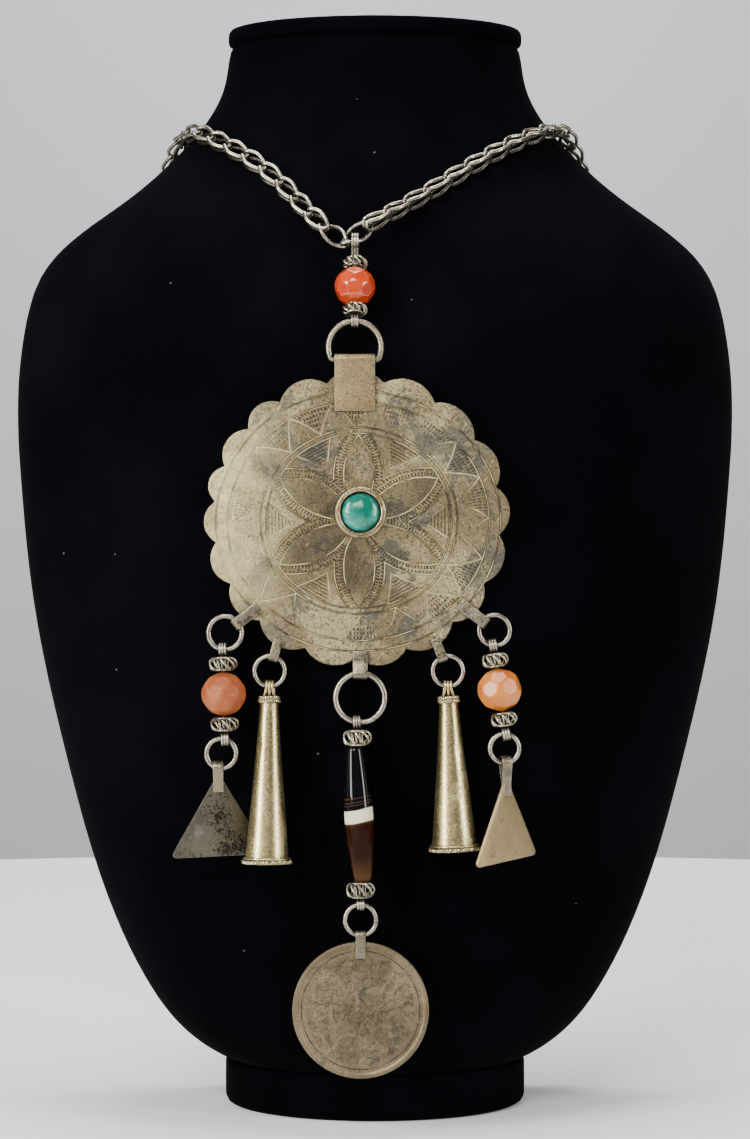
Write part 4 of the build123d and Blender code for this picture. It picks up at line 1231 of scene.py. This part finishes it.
dropNames = {
    "top": {"bead": "top_bead", "material": carnelian, "slot": "carnelian"},
    "left": {"bead": "left_bead", "material": pinkStone, "slot": "pink_bead"},
    "right": {"bead": "right_bead", "material": peachStone, "slot": "peach_bead"},
    "centre": {},
}
for side, drop in dropNames.items():
    upper, lower = f"{side}_spacer_upper", f"{side}_spacer_lower"
    up = boxMiddle(upper) - boxMiddle(lower)
    for node, label in ((upper, "Upper"), (lower, "Lower")):
        coilSpacer(f"{side}Spacer{label}", node, frameAlong(up, boxMiddle(node)))
    if side in beadValues:
        facetedBead(f"{side}Bead", drop["bead"], side, frameAlong(up, boxMiddle(drop["bead"])),
                    drop["material"])
print("beads and spacers made")


# Agate: a long turned barrel that sits a little askew on its wire.
agateValues = {
    "length": 37.4, "end": 2.25, "widest": 4.02, "belly": 0.53, "fullness": 1.75, "round": (0.35, 0.25),
    "askew": 2.4, "sides": 96, "steps": 40,
}


def agateBarrel():
    look = agateValues
    half = look["length"] / 2
    belly = half - look["belly"] * look["length"]
    inward, down = look["round"]
    rows = [(0.0, half), (look["end"] - inward, half)]
    for step in range(look["steps"] + 1):
        height = half - down - (look["length"] - 2 * down) * step / look["steps"]
        span = half - belly if height > belly else half + belly
        share = abs(height - belly) / span
        bulge = (look["widest"] - look["end"]) * (1 - share ** look["fullness"])
        rows.append((look["end"] + bulge, height))
    rows += [(look["end"] - inward, -half), (0.0, -half)]
    barrel = lathe("agateBarrel", rows, look["sides"], True)
    up = boxMiddle("centre_spacer_upper") - boxMiddle("centre_spacer_lower")
    askew = Matrix.Rotation(radians(look["askew"]), 4, "Z")
    settle(barrel, frameAlong(up, boxMiddle("agate_bead")) @ askew)
    finishPiece(barrel, "agate_bead", bandedAgate, 60)


agateBarrel()
print("agate made")


# Stone: a low dome with soft flats, set in the bezel.
# A row of flats holds its lean from the front in degrees and its number of flats. cutAt is where the ball
# is cut in two, just off its middle ring of corners.
stoneValues = {
    "rows": ((68, 9), (42, 7), (14, 4)), "cut": 0.03, "cutRange": (0.5, 1.2), "turnSlip": 10, "leanSlip": 5,
    "edge": 0.08, "seed": 3, "segments": 112, "rings": 72, "fit": 0.995, "rise": 0.99, "cutAt": 0.0037,
}


def buildStone():
    look = stoneValues
    low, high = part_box("stone")
    radius = (high.x - low.x) / 2
    tall = high.y - low.y
    chance = random.Random(look["seed"])
    bpy.ops.mesh.primitive_uv_sphere_add(segments=look["segments"], ring_count=look["rings"], radius=radius,
                                         location=(0, 0, 0))
    stone = bpy.context.object
    stone.name = "tealStone"
    flats = []
    for tilt, count in look["rows"]:
        for step in range(count):
            turn = 2 * pi * step / count + radians(chance.uniform(-look["turnSlip"], look["turnSlip"]))
            lean = radians(tilt + chance.uniform(-look["leanSlip"], look["leanSlip"]))
            normal = (sin(lean) * cos(turn), sin(lean) * sin(turn), cos(lean))
            flats.append((normal, radius * (1 - look["cut"] * chance.uniform(*look["cutRange"]))))
    pressFlats(stone, flats, radius, look["edge"] * mm)
    toEdit(stone)
    selectMesh()
    bpy.ops.mesh.bisect(plane_co=(0, 0, look["cutAt"] * mm), plane_no=(0, 0, 1), use_fill=True,
                        clear_inner=True)
    selectMesh()
    bpy.ops.transform.resize(value=(look["fit"], look["fit"], tall / radius * look["rise"]),
                             center_override=(0, 0, 0))
    toObject()
    middle = boxMiddle("stone")
    settle(stone, Matrix.Translation(Vector((middle.x, high.y, middle.z))) @ faceViewer)
    finishPiece(stone, "stone", tealStone, 60)


buildStone()
print("stone set")


# Cones: a turned shell with a few dents, a collar of twisted wire and a twisted rim.
# A dent holds its turn round the cone, its place as a share of the length and its depth. A collar or a
# rim holds how far it stands off the shell's end and its height above it.
coneValues = {
    "left": {"length": 44.5, "radius": 6.1, "lean": -0.8, "pitch": 2.05, "ring": "left_cone_ring",
             "dents": ((-0.9, 0.28, 0.35), (2.4, 0.85, 0.3))},
    "right": {"length": 41.0, "radius": 6.35, "lean": 2.4, "pitch": 0.0, "ring": "right_cone_ring",
              "dents": ((-1.9, 0.57, 0.5), (0.6, 0.33, 0.2))},
}
coneSizes = {
    "wall": 0.5, "top": 2.5, "bend": (0.36, 0.3), "bendShare": 0.7, "steps": 26, "sides": 72,
    "dentReach": 1.6, "ringWire": 0.62, "ringRadius": 4.2, "wire": 0.42, "loopWire": 0.37, "loops": 3,
    "neck": 1.4, "rope": 0.56, "collarHeight": 1.24, "collars": ((-0.05, 1.15), (0.1, 0.3)),
    "collarTwists": 12, "rimUpper": (0.22, 1.30), "rimLower": (0.40, 0.35), "rimTwists": 25,
    "rimWire": 0.34, "hoopFoot": 0.9,
}
capRows = ((0.0, 1.3), (2.0, 1.3), (2.3, 1.1), (2.3, 0.0), (0.0, 0.0))
hoopValues = {
    "apart": 2.05, "fan": 1.5, "legs": 0.9, "bend": 0.85, "past": 0.35, "closing": 0.12, "steps": 12,
}


def hoopBundle(name, inner, wire, foot):
    # three wire hoops over the ring's wire at the origin, their legs fanned out to the collar below
    look = hoopValues
    reach, past, legs = inner + wire, look["past"], look["legs"]
    hoops = []
    for side in (-1, 0, 1):
        near, wide = side * look["apart"] * wire, side * look["fan"]
        bent = wide * legs + near * (1 - legs)
        arch = []
        for step in range(look["steps"] + 1):
            turn = -past + (pi + 2 * past) * step / look["steps"]
            arch.append((near * (1 - look["closing"] * cos(turn)), reach * sin(turn), reach * cos(turn)))
        knee = foot * look["bend"]
        spots = [(wide, foot, legs), (bent, knee, reach * legs), *arch,
                 (bent, knee, -reach * legs), (wide, foot, -legs)]
        hoops.append(wirePiece(f"{name}{side}", spots, wire, False))
    return hoops


def coneShell(side, top):
    # the turned shell, open below, and its dents
    look, size = coneValues[side], coneSizes
    radius, length = look["radius"], look["length"]
    bendAt, bendOut = size["bend"]
    rows = [(0.0, top), (1.2, top), (size["top"], top)]
    for step in range(1, size["steps"] + 1):
        share = step / size["steps"]
        bulge = bendOut * share / bendAt
        if share >= bendAt:
            bulge = bendOut + (1 - bendOut) * (share - bendAt) / (1 - bendAt)
        bulge = bulge * size["bendShare"] + share * (1 - size["bendShare"])
        rows.append((size["top"] + (radius - size["top"]) * bulge, top - length * share))
    rows += [(reach - size["wall"], height) for reach, height in reversed(rows[3:])]
    rows.append((0.0, top - size["wall"]))
    shell = lathe(f"{side}Cone", rows, size["sides"], True)
    for angle, share, depth in look["dents"]:
        reach = size["top"] + (radius - size["top"]) * share
        middle = Vector((reach * sin(angle), top - length * share, reach * cos(angle))) * mm
        for spot in shell.data.vertices:
            away = (spot.co - middle).length / (size["dentReach"] * mm)
            if away < 1:
                inward = Vector((-spot.co.x, 0, -spot.co.z)).normalized()
                spot.co += inward * depth * mm * (1 - away * away) ** 2
    return shell


def buildCone(side):
    look, size = coneValues[side], coneSizes
    bore = boreOf(size["ringWire"], size["ringRadius"], 2 * size["loops"] * size["loopWire"])
    top = -(bore + 2 * size["loopWire"]) - size["collarHeight"] - size["neck"]
    foot, radius = top - look["length"], look["radius"]
    pieces = [coneShell(side, top)]
    rope = size["rope"]
    for out, up in size["collars"]:
        pieces += ropeRing(f"{side}Collar", size["top"] + out, top + up, rope, size["collarTwists"])
    out, up = size["rimUpper"]
    rim = circleAt(radius + out, foot + up, size["sides"])
    pieces.append(wirePiece(f"{side}Rim", rim, size["rimWire"]))
    out, up = size["rimLower"]
    pieces += ropeRing(f"{side}Rim", radius + out, foot + up, rope, size["rimTwists"])
    pieces.append(lathe(f"{side}Cap", [(reach, top + height) for reach, height in capRows], 40, True))
    pieces += hoopBundle(f"{side}Hoop", bore, size["wire"], top + size["hoopFoot"])
    cone = joinPieces(pieces, f"{side}Cone")
    place = Matrix.Translation(hangSpot(look["ring"], size["ringWire"], 0.0)) @ faceViewer
    place = place @ Matrix.Rotation(radians(look["lean"]), 4, "Z")
    settle(cone, place @ Matrix.Rotation(radians(-look["pitch"]), 4, "X"))
    finishPiece(cone, f"{side}_cone", coneSilver, 50)


for side in coneValues:
    buildCone(side)
print("cones made")


# Triangles and coin, each under its folded strap.
plateValues = {
    "left": {"yaw": 12.0, "strapYaw": 0.0, "pitch": 9.0, "roll": 0.0, "hang": -12.0, "drop": 1.3,
             "ring": "left_ring_lower", "wire": 0.70, "radius": 4.1, "slot": "dark_plate"},
    "right": {"yaw": 49.0, "strapYaw": 14.0, "pitch": 5.0, "roll": 0.5, "hang": 4.0, "drop": 3.8,
              "ring": "right_ring_lower", "wire": 0.67, "radius": 4.05, "slot": "pale_plate"},
}
plateSizes = {
    "side": 27.6, "height": 23.8, "thickness": 0.78, "corner": 1.25, "cornerCut": 1.7, "edge": 0.16,
    "tail": 4.2, "strap": 2.8, "strapDrop": 1.2, "back": (1.4, 0.3), "slant": 1.5,
}


def buildTriangle(side, material):
    look, size = plateValues[side], plateSizes
    half = size["side"] / 2
    drop = look["drop"]
    foot = -drop - size["height"]
    plate = outlineOf(f"{side}Triangle", [(0, -drop, 0), (-half, foot, 0), (half, foot, 0)], "NGON")
    sameNormals()
    bpy.ops.mesh.bevel(offset=size["corner"] * size["cornerCut"] * mm, segments=6, affect="VERTICES")
    toObject()
    thicken(plate, size["thickness"], 0.0)
    softenEdges(plate, size["edge"], 2)
    applyAll(plate)
    spot = hangSpot(look["ring"], look["wire"], look["radius"], look["hang"])
    hang = Matrix.Translation(spot) @ faceViewer @ Matrix.Rotation(radians(look["roll"]), 4, "Z")
    pitch = Matrix.Rotation(radians(look["pitch"]), 4, "X")
    settle(plate, hang @ pitch @ Matrix.Rotation(radians(look["yaw"]), 4, "Y"))
    slant = abs(look["strapYaw"]) + size["slant"] * abs(look["hang"])
    bore = boreOf(look["wire"], look["radius"], size["strap"]) + size["strap"] / 2 * sin(radians(slant))
    face = size["thickness"] / 2
    down, behind = size["back"]
    profile = strapProfile(bore, drop + size["strapDrop"], size["tail"], face, drop + down, -face * behind)
    turn = hang @ pitch @ Matrix.Rotation(radians(look["strapYaw"]), 4, "Y") @ Matrix.Rotation(pi, 4, "Z")
    strap = foldedStrap(f"{side}TriangleStrap", size["strap"], profile, turn, strapSilver)
    dress(plate, material)
    finishPiece(joinPieces([plate, strap], f"{side}Triangle"), f"{side}_triangle", None, 40)


buildTriangle("left", darkPlate)
buildTriangle("right", palePlate)

# A row of the coin's face holds how far it lies from the middle and how far below the rim, and a row of its
# edge how far it lies inside the widest reach and its height.
coinValues = {
    "radius": 18.95, "thickness": 1.88, "middle": 19.0, "drop": 1.6, "sides": 120,
    "face": ((0.0, 0.16), (5.0, 0.2), (10.0, 0.24), (15.5, 0.32), (17.35, 0.32), (17.75, 0.08),
             (18.35, 0.0)),
    "edge": ((0.12, 0.82), (0.0, 0.54), (0.0, -0.64), (0.2, -0.89), (1.0, -0.94), (18.95, -0.89)),
    "strap": 2.7, "tail": 4.0, "strapDrop": 0.6, "sink": 0.1, "lastRow": (0.4, 0.12),
    "ring": "centre_ring_lower", "wire": 0.62, "ringRadius": 4.3,
}


def buildCoin():
    size = coinValues
    face = size["thickness"] / 2
    rows = [(reach, face - below) for reach, below in size["face"]]
    rows += [(size["radius"] - inside, height) for inside, height in size["edge"]]
    coin = lathe("hangingCoin", rows, size["sides"], True)
    hang = Matrix.Translation(hangSpot(size["ring"], size["wire"], size["ringRadius"])) @ faceViewer
    middle = Matrix.Translation(Vector((0, -size["drop"] - size["middle"], 0)) * mm)
    settle(coin, hang @ middle @ Matrix.Rotation(radians(90), 4, "X"))
    dress(coin, coinSilver)
    bore = boreOf(size["wire"], size["ringRadius"], size["strap"])
    drop = size["drop"] + size["strapDrop"]
    short, off = size["lastRow"]
    profile = strapProfile(bore, drop, size["tail"], face - size["sink"], drop, -face - size["sink"])
    profile.append((size["drop"] + size["tail"] - short, -face - off))
    turn = hang @ Matrix.Rotation(pi, 4, "Z")
    strap = foldedStrap("coinStrap", size["strap"], profile, turn, strapSilver)
    finishPiece(joinPieces([coin, strap], "hangingCoin"), "coin", None, 30)


buildCoin()
print("plates and coin made")


# Finishes of the pieces that stay as the CAD has them
wireNodes = ["clasp_hook", "top_wire", "left_cone_ring", "right_cone_ring"]
for side in ("left", "centre", "right"):
    wireNodes += [f"{side}_ring_upper", f"{side}_wire", f"{side}_ring_lower"]
for node in wireNodes:
    dress(nodes[node], chainSilver)
dress(nodes["top_ring"], agedSilver)
print("finishes given")
